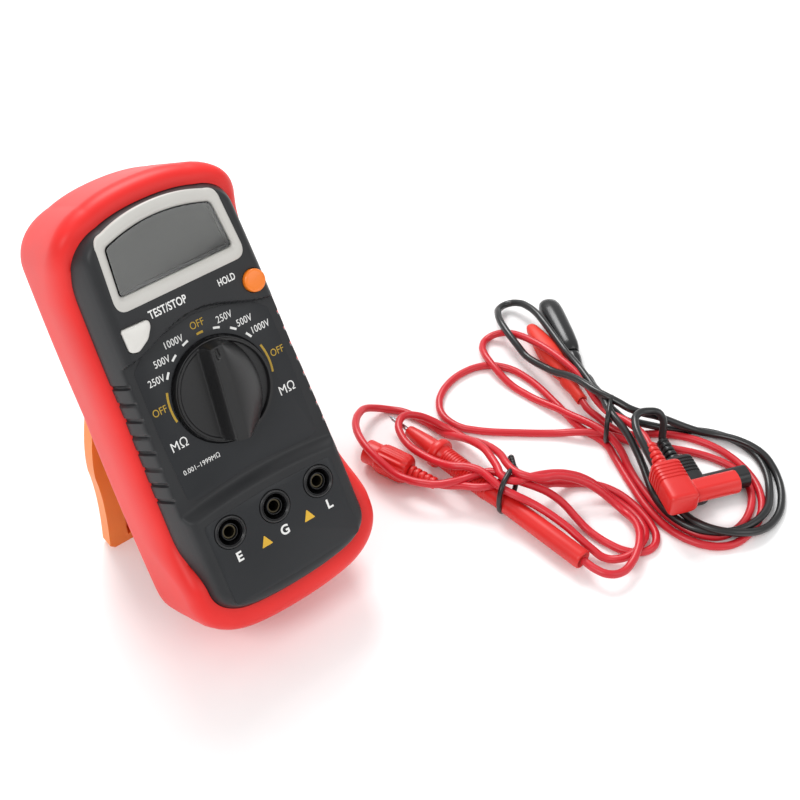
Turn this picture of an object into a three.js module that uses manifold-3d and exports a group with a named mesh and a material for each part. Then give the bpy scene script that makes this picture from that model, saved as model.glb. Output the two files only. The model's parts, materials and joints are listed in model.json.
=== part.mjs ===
// Hand-held insulation resistance tester in a rubber holster, propped on its kickstand,
// with its test leads laid beside it.
// Millimetres, +Z up. The origin is the bottom centre of the tester's bounding box.
// The tester itself is drawn lying in its "face frame": x to the right, y up the face, z out of the face,
// with the origin at the middle socket on the dial panel, and is then leaned back about X.
import * as THREE from 'three';
import { mergeVertices } from 'three/addons/utils/BufferGeometryUtils.js';
import Module from 'manifold-3d';

const wasm = await Module();
wasm.setup();

// ---------------------------------------------------------------- driving dimensions
const leanDeg = 58.6;            // face above the table
const gap = 0.3;                 // clearance between touching pieces

const caseLength = 153;          // hard case, end to end
const jackToBase = 34;           // middle socket to the lower end of the case
const caseTopHalf = 31.5;
const caseWaistHalf = 33.3;
const caseBaseHalf = 35.2;
const caseWaistY = 50;
const topCorner = 12;
const baseCorner = 14;
const topCrown = 2.6;
const baseCrown = 1.6;
const wall = 2;
const panelWall = 2.2;
const raised = 3.5;              // display and socket zones above the dial panel
const faceInset = 3;             // front edge chamfer, seen from the front
const splitDepth = 20;           // dial panel to the parting line

const holsterSide = 4.8;
const holsterTop = 5.7;
const holsterBase = 8;
const holsterBack = 4.7;
const lipDip = 9;                // how far the rim dips along the sides

const jackPitch = 19;
const jackBore = 4;
const jackSleeve = 6.2;
const jackWell = 9.4;
const jackRing = 12;
const jackDepth = 15;
const jackZoneTop = 10.3;
const rampLength = 5;

const dialY = 46.6;
const knobRadius = 18.4;
const knobHeight = 11;
const knobGripWidth = 9;
const skirtHeight = 3.2;
const hubRadius = 6;

const windowBottomHalf = 22;
const windowTopHalf = 20.5;
const windowHeight = 20.5;
const windowToTop = 7.5;         // top of the window to the case end
const bezelWidth = 3.3;
const bezelProud = 0.4;
const lensThickness = 1.2;
const lcdThickness = 2.6;
const lcdMargin = 1.4;           // the panel reaches this far past the window
const lensLedge = 1.2;           // the lens rests on this much of the case
const bezelSeat = 2;             // depth of the bezel's pocket

const holdX = 24.4;
const holdRadius = 4.1;
const testX = -21.4;
const testWidth = 10.4;
const testHeight = 9.4;
const buttonBelowWindow = 14;    // button centres below the window's lower edge
const buttonProud = 1.8;
const buttonTravel = 1.1;
const switchSize = 6;
const flange = 0.8;              // rim that keeps a button in its hole

const boardDepth = 12.4;
const boardThickness = 1.6;
const bossRadius = 3;             // screw posts under the front panel
const seatRadius = 4.1;           // screw posts in the back case
const screwShank = 2.6;
const screwHead = 5.2;
const screwSink = 12;            // case back to the screw head's seat

const coverDepth = 1.6;          // battery cover's recess
const coverLedge = 2;            // and its width round the bay
const cellDiameter = 14;
const cellLength = 50;
const cellCount = 6;
const cellSpace = 0.6;           // between neighbouring cells
const bayRoom = 5;               // case depth beyond the cells and the back wall
const contactThickness = 0.4;
const contactInset = 4;          // contact plates stop short of the bay's ends

const hingeY = 45;
const hingeOffset = 4.6;         // hinge axis behind the holster's back
const pinDiameter = 3;
const lugX = 27;
const lugWidth = 7;
const standHalf = 38.5;
const standThickness = 6;
const standRim = 3.4;
const standFloor = 1.8;
const trayTop = 8;               // hinge axis to the rim of the stand's tray
const standOpenDeg = 31;

const gripCount = 8;
const gripPitch = 6.15;
const gripFirstY = 18.7;
const gripRadius = 0.9;

const cableDiameter = 3.3;
const hankHump = 6.6;            // cable piled over the probe at its tie
const clipPile = 4;              // cable piled up at the other tie
const plugPin = 4;
const plugShroud = 9.6;
const plugGrip = 13;
const plugGripLength = 21;
const plugShroudLength = 19;
const reliefDiameter = 6;
const reliefLength = 13;
const probeGrip = 9.4;
const probeHandle = 8.4;
const probeLength = 98;
const clipLength = 52;
const clipWidth = 10;
const clipHeight = 9.6;
const clipNeck = 14;
const clipHingeGap = 1.2;
const tieWidth = 3;
const tieThickness = 1.4;

// ---------------------------------------------------------------- worked out from them
const lean = THREE.MathUtils.degToRad(leanDeg);
const caseBottom = -jackToBase;
const caseTop = caseLength - jackToBase;
const windowTop = caseTop - windowToTop;
const windowBottom = windowTop - windowHeight;
const archTop = windowBottom - 14.5;
const buttonY = windowBottom - buttonBelowWindow;
const zSplit = -splitDepth;
const cellPitch = cellDiameter + cellSpace;
const lowScrewY = caseBottom + baseCorner - 2;
const bayLow = lowScrewY + seatRadius + gap;
const firstCellY = bayLow + cellSpace + cellDiameter / 2;
const bayHigh = bayLow + cellCount * cellPitch + cellSpace;
const cellsMiddleY = (bayLow + bayHigh) / 2;
const highScrewY = Math.max(windowBottom - bossRadius - 1.6, bayHigh + seatRadius + gap);
const caseDepth = splitDepth + wall + cellDiameter + bayRoom;
const zCaseBack = -caseDepth;
const zHolsterBack = zCaseBack - gap - holsterBack;
const zBoard = -boardDepth;
const hankHeight = 2 * cableDiameter + 0.4;

// ---------------------------------------------------------------- helpers
const colours = {
  red: 0xe8403a, charcoal: 0x3b3b3d, slate: 0x33363a, light: 0xd9d7d2, orange: 0xf5893a, black: 0x222224,
  white: 0xeceae6, brass: 0xc9a24a, steel: 0xb4b6b8, green: 0x1f6b43, glass: 0x39423c, rubber: 0x2b2b2b,
  cable: 0xd92c38, copper: 0xb86b3a, cell: 0x2f4f7a,
};
const finish = {
  plastic: [0.55, 0], gloss: [0.3, 0], rubber: [0.75, 0], metal: [0.3, 1], glass: [0.08, 0],
};

function named(name, geometry, colour, kind) {
  const [roughness, metalness] = finish[kind];
  const material = new THREE.MeshStandardMaterial({ color: colours[colour], roughness, metalness });
  const mesh = new THREE.Mesh(geometry, material);
  mesh.name = name;
  return mesh;
}

function solid(geometry) {
  const bare = new THREE.BufferGeometry();
  bare.setAttribute('position', geometry.getAttribute('position'));
  if (geometry.index) bare.setIndex(geometry.index);
  const merged = mergeVertices(bare, 1e-4);
  return new wasm.Manifold(new wasm.Mesh({
    numProp: 3,
    vertProperties: new Float32Array(merged.getAttribute('position').array),
    triVerts: new Uint32Array(merged.index.array),
  }));
}

function geometryOf(manifold) {
  const mesh = manifold.getMesh();
  const geometry = new THREE.BufferGeometry();
  geometry.setAttribute('position', new THREE.BufferAttribute(mesh.vertProperties, 3));
  geometry.setIndex(new THREE.BufferAttribute(mesh.triVerts, 1));
  return geometry;
}

function cut(base, ...tools) {
  let body = solid(base);
  for (const tool of tools) {
    body = body.subtract(solid(tool));
  }
  return geometryOf(body);
}

function join(base, ...others) {
  let body = solid(base);
  for (const other of others) {
    body = body.add(solid(other));
  }
  return geometryOf(body);
}

function box(width, height, depth, x, y, z) {
  return new THREE.BoxGeometry(width, height, depth).translate(x, y, z);
}

// A cylinder along the face normal, between two heights.
function post(radius, z0, z1, x, y, sides = 24) {
  const geometry = new THREE.CylinderGeometry(radius, radius, z1 - z0, sides);
  return geometry.rotateX(Math.PI / 2).translate(x, y, (z0 + z1) / 2);
}

// A turned piece along the face normal from a profile of [radius, z] points.
function turned(profile, x, y, sides = 24) {
  const points = profile.map(([radius, z]) => new THREE.Vector2(radius, z));
  return new THREE.LatheGeometry(points, sides).rotateX(Math.PI / 2).translate(x, y, 0);
}

function slab(shape, z0, z1) {
  return new THREE.ExtrudeGeometry(shape, { depth: z1 - z0, bevelEnabled: false }).translate(0, 0, z0);
}

// A closed skin over outlines that all have the same number of points, lowest first.
function loft(rings) {
  const count = rings[0].points.length;
  const positions = [];
  const index = [];
  for (const ring of rings) {
    for (const point of ring.points) {
      positions.push(point.x, point.y, ring.z);
    }
  }
  for (let r = 0; r + 1 < rings.length; r += 1) {
    for (let i = 0; i < count; i += 1) {
      const a = r * count + i;
      const b = r * count + (i + 1) % count;
      index.push(a, b, b + count, a, b + count, a + count);
    }
  }
  const last = (rings.length - 1) * count;
  for (const [a, b, c] of THREE.ShapeUtils.triangulateShape(rings[0].points, [])) {
    index.push(a, c, b);
  }
  for (const [a, b, c] of THREE.ShapeUtils.triangulateShape(rings.at(-1).points, [])) {
    index.push(last + a, last + b, last + c);
  }
  const geometry = new THREE.BufferGeometry();
  geometry.setAttribute('position', new THREE.Float32BufferAttribute(positions, 3));
  geometry.setIndex(index);
  return geometry;
}

// Both halves of an outline, counter-clockwise, from the right half drawn bottom to top.
function mirrored(path, divisions) {
  const right = path.getPoints(divisions);
  const left = right.slice(1, -1).reverse().map((p) => new THREE.Vector2(-p.x, p.y));
  return [...right, ...left];
}

// The case outline pushed outwards by grow, with its own allowance at each end.
function bodyOutline(grow, growTop = grow, growBase = grow) {
  const top = caseTop + growTop;
  const base = caseBottom - growBase;
  const topHalf = caseTopHalf + grow;
  const waistHalf = caseWaistHalf + grow;
  const baseHalf = caseBaseHalf + grow;
  const topR = topCorner + grow;
  const baseR = baseCorner + grow;
  const shoulder = top - topCrown - topR;
  const heel = base + baseCrown + baseR;
  const path = new THREE.Path();
  path.moveTo(0, base);
  path.quadraticCurveTo((baseHalf - baseR) * 0.6, base, baseHalf - baseR, base + baseCrown);
  path.bezierCurveTo(baseHalf - baseR * 0.45, base + baseCrown + baseR * 0.1,
    baseHalf, heel - baseR * 0.55, baseHalf, heel);
  path.quadraticCurveTo(baseHalf, (heel + caseWaistY) / 2, waistHalf, caseWaistY);
  path.quadraticCurveTo(waistHalf - 0.3, (shoulder + caseWaistY) / 2, topHalf, shoulder);
  path.bezierCurveTo(topHalf - 0.3, shoulder + topR * 0.55,
    topHalf - topR * 0.45, top - topCrown - topR * 0.1, topHalf - topR, top - topCrown);
  path.quadraticCurveTo((topHalf - topR) * 0.6, top, 0, top);
  return mirrored(path, 5);
}

function bodyLoft(levels) {
  return loft(levels.map(([z, grow, growTop, growBase]) => (
    { z, points: bodyOutline(grow, growTop, growBase) })));
}

// The display outline: a trapezium with an arched top and round corners, pushed outwards by grow.
function windowOutline(grow) {
  const bottom = windowBottom - grow;
  const top = windowTop + grow;
  const bottomHalf = windowBottomHalf + grow;
  const topHalf = windowTopHalf + grow;
  const r = 1.6 + Math.max(grow, -1) * 0.8;
  const path = new THREE.Path();
  path.moveTo(0, bottom);
  path.lineTo(bottomHalf - r, bottom);
  path.quadraticCurveTo(bottomHalf, bottom, bottomHalf - 0.1, bottom + r);
  path.lineTo(topHalf + 0.1, top - 4 - r);
  path.quadraticCurveTo(topHalf, top - 3.6, topHalf - r, top - 3.2);
  path.quadraticCurveTo(topHalf * 0.45, top, 0, top);
  return mirrored(path, 5);
}

function windowSlab(grow, z0, z1) {
  return loft([{ z: z0, points: windowOutline(grow) }, { z: z1, points: windowOutline(grow) }]);
}

// The test button: flat top, square outer side, round lower inner corner.
function testOutline(grow) {
  const left = testX - testWidth / 2 - grow;
  const right = testX + testWidth / 2 + grow;
  const top = buttonY + testHeight / 2 + grow;
  const bottom = buttonY - testHeight / 2 - grow;
  const r = 1.5;
  const shape = new THREE.Shape();
  shape.moveTo(left + r, bottom + 0.8);
  shape.quadraticCurveTo(right - 3, bottom + 0.2, right - 0.4, top - 4);
  shape.quadraticCurveTo(right + 0.4, top, right - r, top);
  shape.lineTo(left + r, top);
  shape.quadraticCurveTo(left, top, left, top - r);
  shape.lineTo(left, bottom + 0.8 + r);
  shape.quadraticCurveTo(left, bottom + 0.8, left + r, bottom + 0.8);
  return shape;
}

function bossPlaces() {
  const places = [];
  for (const side of [-1, 1]) {
    places.push([side * (caseWaistHalf - wall - seatRadius), highScrewY]);
    places.push([side * (caseBaseHalf - wall - seatRadius - 3), lowScrewY]);
  }
  return places;
}

const jackPlaces = [['e', -jackPitch], ['g', 0], ['l', jackPitch]];

// ---------------------------------------------------------------- case
function frontCase() {
  const skin = bodyLoft([[zSplit, 0], [-8, 0], [-4, -0.6], [-1.5, -1.9], [0, -faceInset],
    [raised, -faceInset - 0.8]]);
  const cavity = bodyLoft([[zSplit - 1, -wall], [-9, -wall], [-panelWall - 1.5, -wall - 0.6],
    [-panelWall, -wall - 1.6]]);
  const dialZone = new THREE.Shape();
  const wide = caseBaseHalf + 5;
  dialZone.moveTo(-wide, jackZoneTop + rampLength - 2);
  dialZone.quadraticCurveTo(0, jackZoneTop + rampLength + 2, wide, jackZoneTop + rampLength - 2);
  dialZone.lineTo(wide, archTop - 13);
  dialZone.quadraticCurveTo(caseWaistHalf * 0.5, archTop + 2, 0, archTop + 2);
  dialZone.quadraticCurveTo(-caseWaistHalf * 0.5, archTop + 2, -wide, archTop - 13);
  const ramp = new THREE.Shape();
  ramp.moveTo(jackZoneTop, raised + 1);
  ramp.lineTo(jackZoneTop, raised);
  ramp.lineTo(jackZoneTop + rampLength, 0);
  ramp.lineTo(jackZoneTop + rampLength + 3, 0);
  ramp.lineTo(jackZoneTop + rampLength + 3, raised + 1);
  const rampCut = new THREE.ExtrudeGeometry(ramp, { depth: 2 * wide, bevelEnabled: false });
  rampCut.applyMatrix4(new THREE.Matrix4().makeBasis(
    new THREE.Vector3(0, 1, 0), new THREE.Vector3(0, 0, 1), new THREE.Vector3(1, 0, 0)));
  rampCut.translate(-wide, 0, 0);
  const tools = [
    cavity,
    slab(dialZone, 0, raised + 1),
    rampCut,
    windowSlab(bezelWidth + gap, raised - bezelSeat, raised + 1),
    windowSlab(-lensLedge, -5, raised + 1),
    windowSlab(lcdMargin + 0.4, -5, gap),
    post(hubRadius + gap, -5, 5, 0, dialY, 32),
    post(holdRadius + gap, -5, 8, holdX, buttonY),
    slab(testOutline(gap), -5, 8),
  ];
  tools.push(post(holdRadius + flange + gap, zSplit + 1, -panelWall, holdX, buttonY));
  tools.push(slab(testOutline(flange + gap), zSplit + 1, -panelWall));
  for (const [, x] of jackPlaces) {
    tools.push(post(jackRing / 2 + gap, -5, 8, x, 0));
  }
  const flare = (caseBaseHalf - caseWaistHalf) * 0.45 / 35;
  const half = (y) => caseWaistHalf + flare * Math.max(caseWaistY - y, 0);
  for (let k = 0; k < gripCount; k += 1) {
    const y = gripFirstY + k * gripPitch;
    for (const side of [-1, 1]) {
      tools.push(post(gripRadius, zSplit + 3, -2.6, side * (half(y) - 0.1), y, 8));
    }
  }
  const bosses = bossPlaces().map(([x, y]) => post(bossRadius, zSplit, -panelWall + 1, x, y, 16));
  const pilots = bossPlaces().map(([x, y]) => (
    post(screwShank / 2 + gap, zSplit - 1, -panelWall - 3, x, y, 12)));
  return named('front_case', cut(join(cut(skin, ...tools), ...bosses), ...pilots), 'charcoal', 'plastic');
}

function backCase() {
  const z1 = zSplit - gap;
  const skin = bodyLoft([[zCaseBack, -3], [zCaseBack + 1, -1.2], [zCaseBack + 3.5, 0], [z1, 0]]);
  const floor = zCaseBack + wall;
  const cavity = bodyLoft([[floor, -wall - 2.4], [floor + 3, -wall], [z1 + 1, -wall]]);
  const bay = bayBox(wall, zCaseBack + wall * 0.5, zBayFloor + 1.5);
  const seats = bossPlaces().map(([x, y]) => post(seatRadius, zCaseBack + 1, z1, x, y, 16));
  const shell = join(cut(skin, cavity), bay, ...seats);
  const recess = bayBox(coverLedge, zCaseBack - 1, zCaseBack + coverDepth);
  const tools = [bayBox(0, zCaseBack - 1, zBayFloor), recess];
  for (const [x, y] of bossPlaces()) {
    tools.push(post(screwHead / 2 + gap, zCaseBack - 1, zCaseBack + screwSink, x, y, 16));
    tools.push(post(screwShank / 2 + gap, zCaseBack - 1, z1 + 1, x, y, 12));
  }
  return named('back_case', cut(shell, ...tools), 'charcoal', 'plastic');
}

// The battery bay, from the parting side of the back case, pushed outwards by grow.
const zBayFloor = zCaseBack + wall + cellDiameter + 1.4;
const bayHalf = cellLength / 2 + 1.4;
function bayBox(grow, z0, z1) {
  const height = bayHigh - bayLow + 2 * grow;
  return box(2 * (bayHalf + grow), height, z1 - z0, 0, cellsMiddleY, (z0 + z1) / 2);
}

function batteryCover() {
  const plate = bayBox(coverLedge - gap, zCaseBack, zCaseBack + coverDepth - gap);
  return named('battery_cover', plate, 'charcoal', 'plastic');
}

function cells() {
  const z = zCaseBack + coverDepth + cellDiameter / 2;
  const radius = cellDiameter / 2;
  const nub = 2.7;
  const list = [];
  for (let k = 0; k < cellCount; k += 1) {
    const flip = k % 2 ? -1 : 1;
    const half = cellLength / 2;
    const profile = [[0, -half], [radius - 0.5, -half], [radius, -half + 0.5], [radius, half - 1.8],
      [radius - 0.6, half - 1.2], [nub, half - 1.2], [nub, half], [0, half]];
    const geometry = new THREE.LatheGeometry(profile.map(([r, h]) => new THREE.Vector2(r, h)), 16);
    geometry.rotateZ(-flip * Math.PI / 2).translate(0, firstCellY + k * cellPitch, z);
    list.push(named(`battery_cell_${k + 1}`, geometry, 'cell', 'gloss'));
  }
  return list;
}

function contactPlates() {
  const height = bayHigh - bayLow - 2 * contactInset;
  const z = zCaseBack + coverDepth + cellDiameter / 2;
  return [['left', -1], ['right', 1]].map(([place, side]) => named(`battery_contact_${place}`,
    box(contactThickness, height, 10, side * (bayHalf - gap - contactThickness / 2), cellsMiddleY, z),
    'steel', 'metal'));
}

function caseScrews() {
  const zHead = zCaseBack + screwSink;
  const profile = [[0, zHead - 2.4], [screwHead / 2, zHead - 2.4], [screwHead / 2, zHead - gap],
    [screwShank / 2, zHead - gap], [screwShank / 2, zSplit + 9], [0, zSplit + 10.4]];
  return bossPlaces().map(([x, y], k) => (
    named(`case_screw_${k + 1}`, turned(profile, x, y, 12), 'steel', 'metal')));
}

// ---------------------------------------------------------------- holster and stand
const zHinge = zHolsterBack - hingeOffset;

function holster() {
  const side = gap + holsterSide;
  const top = gap + holsterTop;
  const base = gap + holsterBase;
  const skin = bodyLoft([
    [zHolsterBack, side - 8, top - 8, base - 8], [zHolsterBack + 1.2, side - 4, top - 4, base - 3.5],
    [zHolsterBack + 4, side - 1.2, top - 1.2, base - 0.2], [zHolsterBack + 8, side, top, base + 1.5],
    [-24, side, top, base + 0.6], [-9, side, top, base - 0.6], [-4.5, side - 1, top - 0.6, base - 1.4],
    [-2.2, side - 2.6, top - 2.2, base - 3.4], [-1.4, side - 4.6, top - 4.2, base - 6.2]]);
  const cavity = bodyLoft([[zCaseBack - gap, -1.6], [zCaseBack + 1.5, 0], [zCaseBack + 3.5, gap],
    [1, gap]]);
  const dip = new THREE.Shape();
  const low = caseBottom + 20;
  const high = caseTop - 12;
  dip.moveTo(caseBottom + 2, 3);
  dip.lineTo(caseBottom + 2, -1.4);
  dip.bezierCurveTo(low - 4, -1.4, low - 2, -1.4 - lipDip, low + 16, -1.4 - lipDip);
  dip.lineTo(high - 14, -1.4 - lipDip);
  dip.bezierCurveTo(high, -1.4 - lipDip, high - 2, -1.4, high + 10, -1.4);
  dip.lineTo(high + 10, 3);
  const wide = caseBaseHalf + 12;
  const dipCut = new THREE.ExtrudeGeometry(dip, { depth: 2 * wide, bevelEnabled: false, curveSegments: 8 });
  dipCut.applyMatrix4(new THREE.Matrix4().makeBasis(
    new THREE.Vector3(0, 1, 0), new THREE.Vector3(0, 0, 1), new THREE.Vector3(1, 0, 0)));
  dipCut.translate(-wide, 0, 0);
  const lugs = [-1, 1].map((s) => hingeBlock(s * lugX, lugWidth));
  const bore = alongX(pinDiameter / 2 + gap, -wide, wide, hingeY, zHinge, 16);
  return named('holster', cut(join(cut(skin, cavity, dipCut), ...lugs), bore), 'red', 'rubber');
}

function alongX(radius, x0, x1, y, z, sides) {
  const geometry = new THREE.CylinderGeometry(radius, radius, x1 - x0, sides);
  return geometry.rotateZ(Math.PI / 2).translate((x0 + x1) / 2, y, z);
}

function hingeBlock(x, width) {
  const block = box(width, hingeOffset * 1.9, hingeOffset + 1, x, hingeY, zHinge + (hingeOffset + 1) / 2);
  return join(block, alongX(hingeOffset * 0.95, x - width / 2, x + width / 2, hingeY, zHinge, 16));
}

// Height of the table below the face frame's origin, measured square to the table.
const heightOf = (y, z) => y * Math.sin(lean) + z * Math.cos(lean);
function holsterBottomHeight(mesh) {
  const position = mesh.geometry.getAttribute('position');
  let lowest = Infinity;
  for (let i = 0; i < position.count; i += 1) {
    lowest = Math.min(lowest, heightOf(position.getY(i), position.getZ(i)));
  }
  return lowest;
}

// The stand is drawn hanging straight down from its hinge axis along -Y, its face towards the holster (+Z).
function kickstand(tableHeight) {
  const open = THREE.MathUtils.degToRad(standOpenDeg);
  const back = standThickness / 2;
  const run = Math.sin(lean) * Math.cos(open) + Math.cos(lean) * Math.sin(open);
  const heel = back * (Math.cos(lean) * Math.cos(open) - Math.sin(lean) * Math.sin(open));
  const reach = (heightOf(hingeY, zHinge) - tableHeight - Math.abs(heel)) / run;
  const crest = (hingeOffset - gap - back * Math.cos(open)) / Math.sin(open);
  const outline = new THREE.Shape();
  const neck = standHalf - 4;
  outline.moveTo(-standHalf + 2, -reach);
  outline.lineTo(standHalf - 2, -reach);
  outline.lineTo(standHalf, -reach + 2);
  outline.quadraticCurveTo(standHalf - 2.4, -reach * 0.62, standHalf - 0.6, -reach * 0.4);
  outline.quadraticCurveTo(standHalf - 0.4, -reach * 0.25, neck, -2);
  outline.quadraticCurveTo(neck - 0.4, crest, neck - 4, crest);
  outline.lineTo(-neck + 4, crest);
  outline.quadraticCurveTo(-neck + 0.4, crest, -neck, -2);
  outline.quadraticCurveTo(-standHalf + 0.4, -reach * 0.25, -standHalf + 0.6, -reach * 0.4);
  outline.quadraticCurveTo(-standHalf + 2.4, -reach * 0.62, -standHalf, -reach + 2);
  const plate = new THREE.ExtrudeGeometry(outline, {
    depth: standThickness, bevelEnabled: false, curveSegments: 8,
  });
  plate.translate(0, 0, -back);
  const traySize = reach - trayTop - 2 * standRim;
  const trayY = -trayTop - standRim - traySize / 2;
  const tray = box(2 * (neck - standRim - 1), traySize, standThickness, 0, trayY, standFloor);
  const slots = [-1, 1].map((s) => box(lugWidth + 2 * gap + 0.4, 16, standThickness + 2, s * lugX, 0.5, 0));
  const bore = alongX(pinDiameter / 2 + gap, -standHalf, standHalf, 0, 0, 16);
  const geometry = cut(plate, tray, ...slots, bore);
  geometry.rotateX(open).translate(0, hingeY, zHinge);
  return named('kickstand', geometry, 'orange', 'plastic');
}

function standPins() {
  return [-1, 1].map((s) => {
    const half = lugWidth / 2 + 3.2;
    return named(s < 0 ? 'stand_pin_left' : 'stand_pin_right',
      alongX(pinDiameter / 2, s * lugX - half, s * lugX + half, hingeY, zHinge, 12), 'steel', 'metal');
  });
}

// ---------------------------------------------------------------- front panel pieces
function display() {
  const bezel = cut(
    loft([{ z: raised - bezelSeat + gap, points: windowOutline(bezelWidth) },
      { z: raised, points: windowOutline(bezelWidth) },
      { z: raised + bezelProud, points: windowOutline(bezelWidth - 0.7) }]),
    windowSlab(0, raised - bezelSeat - 1, raised + 2));
  const lensBase = raised - bezelSeat + gap;
  const lens = windowSlab(-gap, lensBase, lensBase + lensThickness);
  const lcd = windowSlab(lcdMargin, -lcdThickness, 0);
  const zebras = [['upper', windowTop - 4.5], ['lower', windowBottom - 0.6]].map(([place, y]) => named(
    `zebra_strip_${place}`,
    box(2 * windowTopHalf - 6, 1.8, boardDepth - lcdThickness - 2 * gap, 0, y, (zBoard - lcdThickness) / 2),
    'rubber', 'rubber'));
  return [named('display_bezel', bezel, 'light', 'plastic'), named('display_lens', lens, 'glass', 'glass'),
    named('lcd_panel', lcd, 'glass', 'gloss'), ...zebras];
}

function knob() {
  const z0 = gap + 0.2;
  const base = turned([[0, z0], [knobRadius, z0], [knobRadius, skirtHeight - 0.6],
    [knobRadius - 0.6, skirtHeight], [0, skirtHeight]], 0, dialY, 36);
  const grip = new THREE.Shape();
  const half = knobGripWidth / 2;
  const tip = Math.sqrt(knobRadius ** 2 - half ** 2) - 0.4;
  grip.moveTo(-half, -tip);
  grip.quadraticCurveTo(0, -tip - 1.4, half, -tip);
  grip.quadraticCurveTo(half - 2.2, 0, half, tip);
  grip.quadraticCurveTo(0, tip + 1.4, -half, tip);
  grip.quadraticCurveTo(-half + 2.2, 0, -half, -tip);
  const bar = new THREE.ExtrudeGeometry(grip, {
    depth: knobHeight - skirtHeight - 0.6, bevelEnabled: true, bevelSegments: 2,
    bevelThickness: 0.8, bevelSize: 0.7, bevelOffset: -0.7,
  }).translate(0, dialY, skirtHeight - 0.2);
  const hub = post(hubRadius, -5.5, 1, 0, dialY, 24);
  const pointer = box(1.2, 5, 2, 0, dialY + knobRadius - 5.6, knobHeight);
  return named('range_knob', cut(join(base, bar, hub), pointer), 'black', 'plastic');
}

function rotor() {
  const zTop = -5.5 - gap;
  const zLow = zBoard + 1.2;
  const disc = turned([[0, zLow], [14.5, zLow], [14.5, zTop - 1.5], [13.5, zTop], [0, zTop]], 0, dialY, 32);
  const wiper = box(3, 22, 0.4, 0, dialY, zBoard + 0.7);
  return [named('switch_rotor', disc, 'white', 'plastic'), named('rotor_wiper', wiper, 'brass', 'metal')];
}

function buttons() {
  const zTop = raised + buttonProud;
  const flangeTop = -panelWall - gap;
  const flangeLow = flangeTop - 1.2;
  const rim = holdRadius + flange;
  const cap = turned([[0, flangeLow], [rim, flangeLow], [rim, flangeTop], [holdRadius, flangeTop],
    [holdRadius, zTop - 0.8], [holdRadius - 0.8, zTop], [0, zTop]], holdX, buttonY, 24);
  const pad = slab(testOutline(0), flangeTop - 0.5, zTop);
  const test = join(pad, slab(testOutline(flange), flangeLow, flangeTop));
  const switchTop = flangeLow - buttonTravel - gap;
  const list = [named('hold_button', cap, 'orange', 'plastic')];
  list.push(named('test_button', test, 'white', 'plastic'));
  for (const [name, x] of [['hold_switch', holdX], ['test_switch', testX]]) {
    const low = zBoard + gap;
    const body = box(switchSize, switchSize, switchTop - low, x, buttonY, (switchTop + low) / 2);
    list.push(named(name, body, 'black', 'plastic'));
  }
  return list;
}

function jacks() {
  const list = [];
  const zTop = raised + 0.5;
  const zLow = zTop - jackDepth;
  const tubeOuter = jackSleeve / 2;
  const tubeInner = jackBore / 2 + 0.5 + gap;
  const ring = jackRing / 2;
  const body = ring - 0.8;
  const well = jackWell / 2;
  for (const [label, x] of jackPlaces) {
    const housing = [[tubeInner, zLow], [body, zLow], [body, raised - 1], [ring, raised - 1],
      [ring, zTop - 0.4], [ring - 0.4, zTop], [well, zTop], [well, zLow + 1.5],
      [tubeOuter, zLow + 1.5], [tubeOuter, raised - 0.4], [tubeInner, raised - 0.4], [tubeInner, zLow]];
    const contact = [[0, zLow - 1], [tubeInner - gap, zLow - 1], [tubeInner - gap, raised - 1],
      [jackBore / 2, raised - 1], [jackBore / 2, zLow + 1], [0, zLow + 1]];
    list.push(named(`jack_housing_${label}`, turned(housing, x, 0, 20), 'black', 'plastic'));
    list.push(named(`jack_socket_${label}`, turned(contact, x, 0, 20), 'brass', 'metal'));
  }
  return list;
}

// ---------------------------------------------------------------- electronics
function electronics() {
  const z0 = zBoard - boardThickness;
  const board = bodyLoft([[z0, -wall - 1.4], [zBoard, -wall - 1.4]]);
  const holes = bossPlaces().map(([x, y]) => post(bossRadius + gap, z0 - 1, zBoard + 1, x, y, 16));
  const under = z0 - gap;
  const part = (name, width, height, depth, x, y, colour, kind) => named(
    name, box(width, height, depth, x, y, under - depth / 2), colour, kind);
  const coilY = bayHigh + 2 * wall + 9;
  return [
    named('circuit_board', cut(board, ...holes), 'green', 'gloss'),
    part('hv_transformer', 18, 16, 14, -12, coilY, 'copper', 'metal'),
    part('converter_chip', 18, 12, 2.4, 0, dialY - 26, 'black', 'plastic'),
    part('meter_chip', 14, 14, 2, 0, dialY, 'black', 'plastic'),
    named('hv_capacitor', post(5, under - 12, under, 12, coilY, 20), 'slate', 'gloss'),
  ];
}

// ---------------------------------------------------------------- test leads
// The leads lie on the table to the right of the tester, in table coordinates: x, y from the origin, z up.
// Each loosely bundled cable is one closed solid of the bundle's outer shape.
function laid(geometry, [x, y], headingDeg, z = 0) {
  return geometry.rotateZ(THREE.MathUtils.degToRad(headingDeg)).translate(x, y, z);
}

// A turned piece lying along +Y from a profile of [radius, distance] points.
function turnedAlong(profile, sides = 16) {
  return new THREE.LatheGeometry(profile.map(([r, d]) => new THREE.Vector2(r, d)), sides);
}

function hankSolid(outline, height) {
  const curve = new THREE.SplineCurve([...outline, outline[0]].map(([x, y]) => new THREE.Vector2(x, y)));
  return slab(new THREE.Shape(curve.getPoints(outline.length * 2)), 0, height);
}

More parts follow.
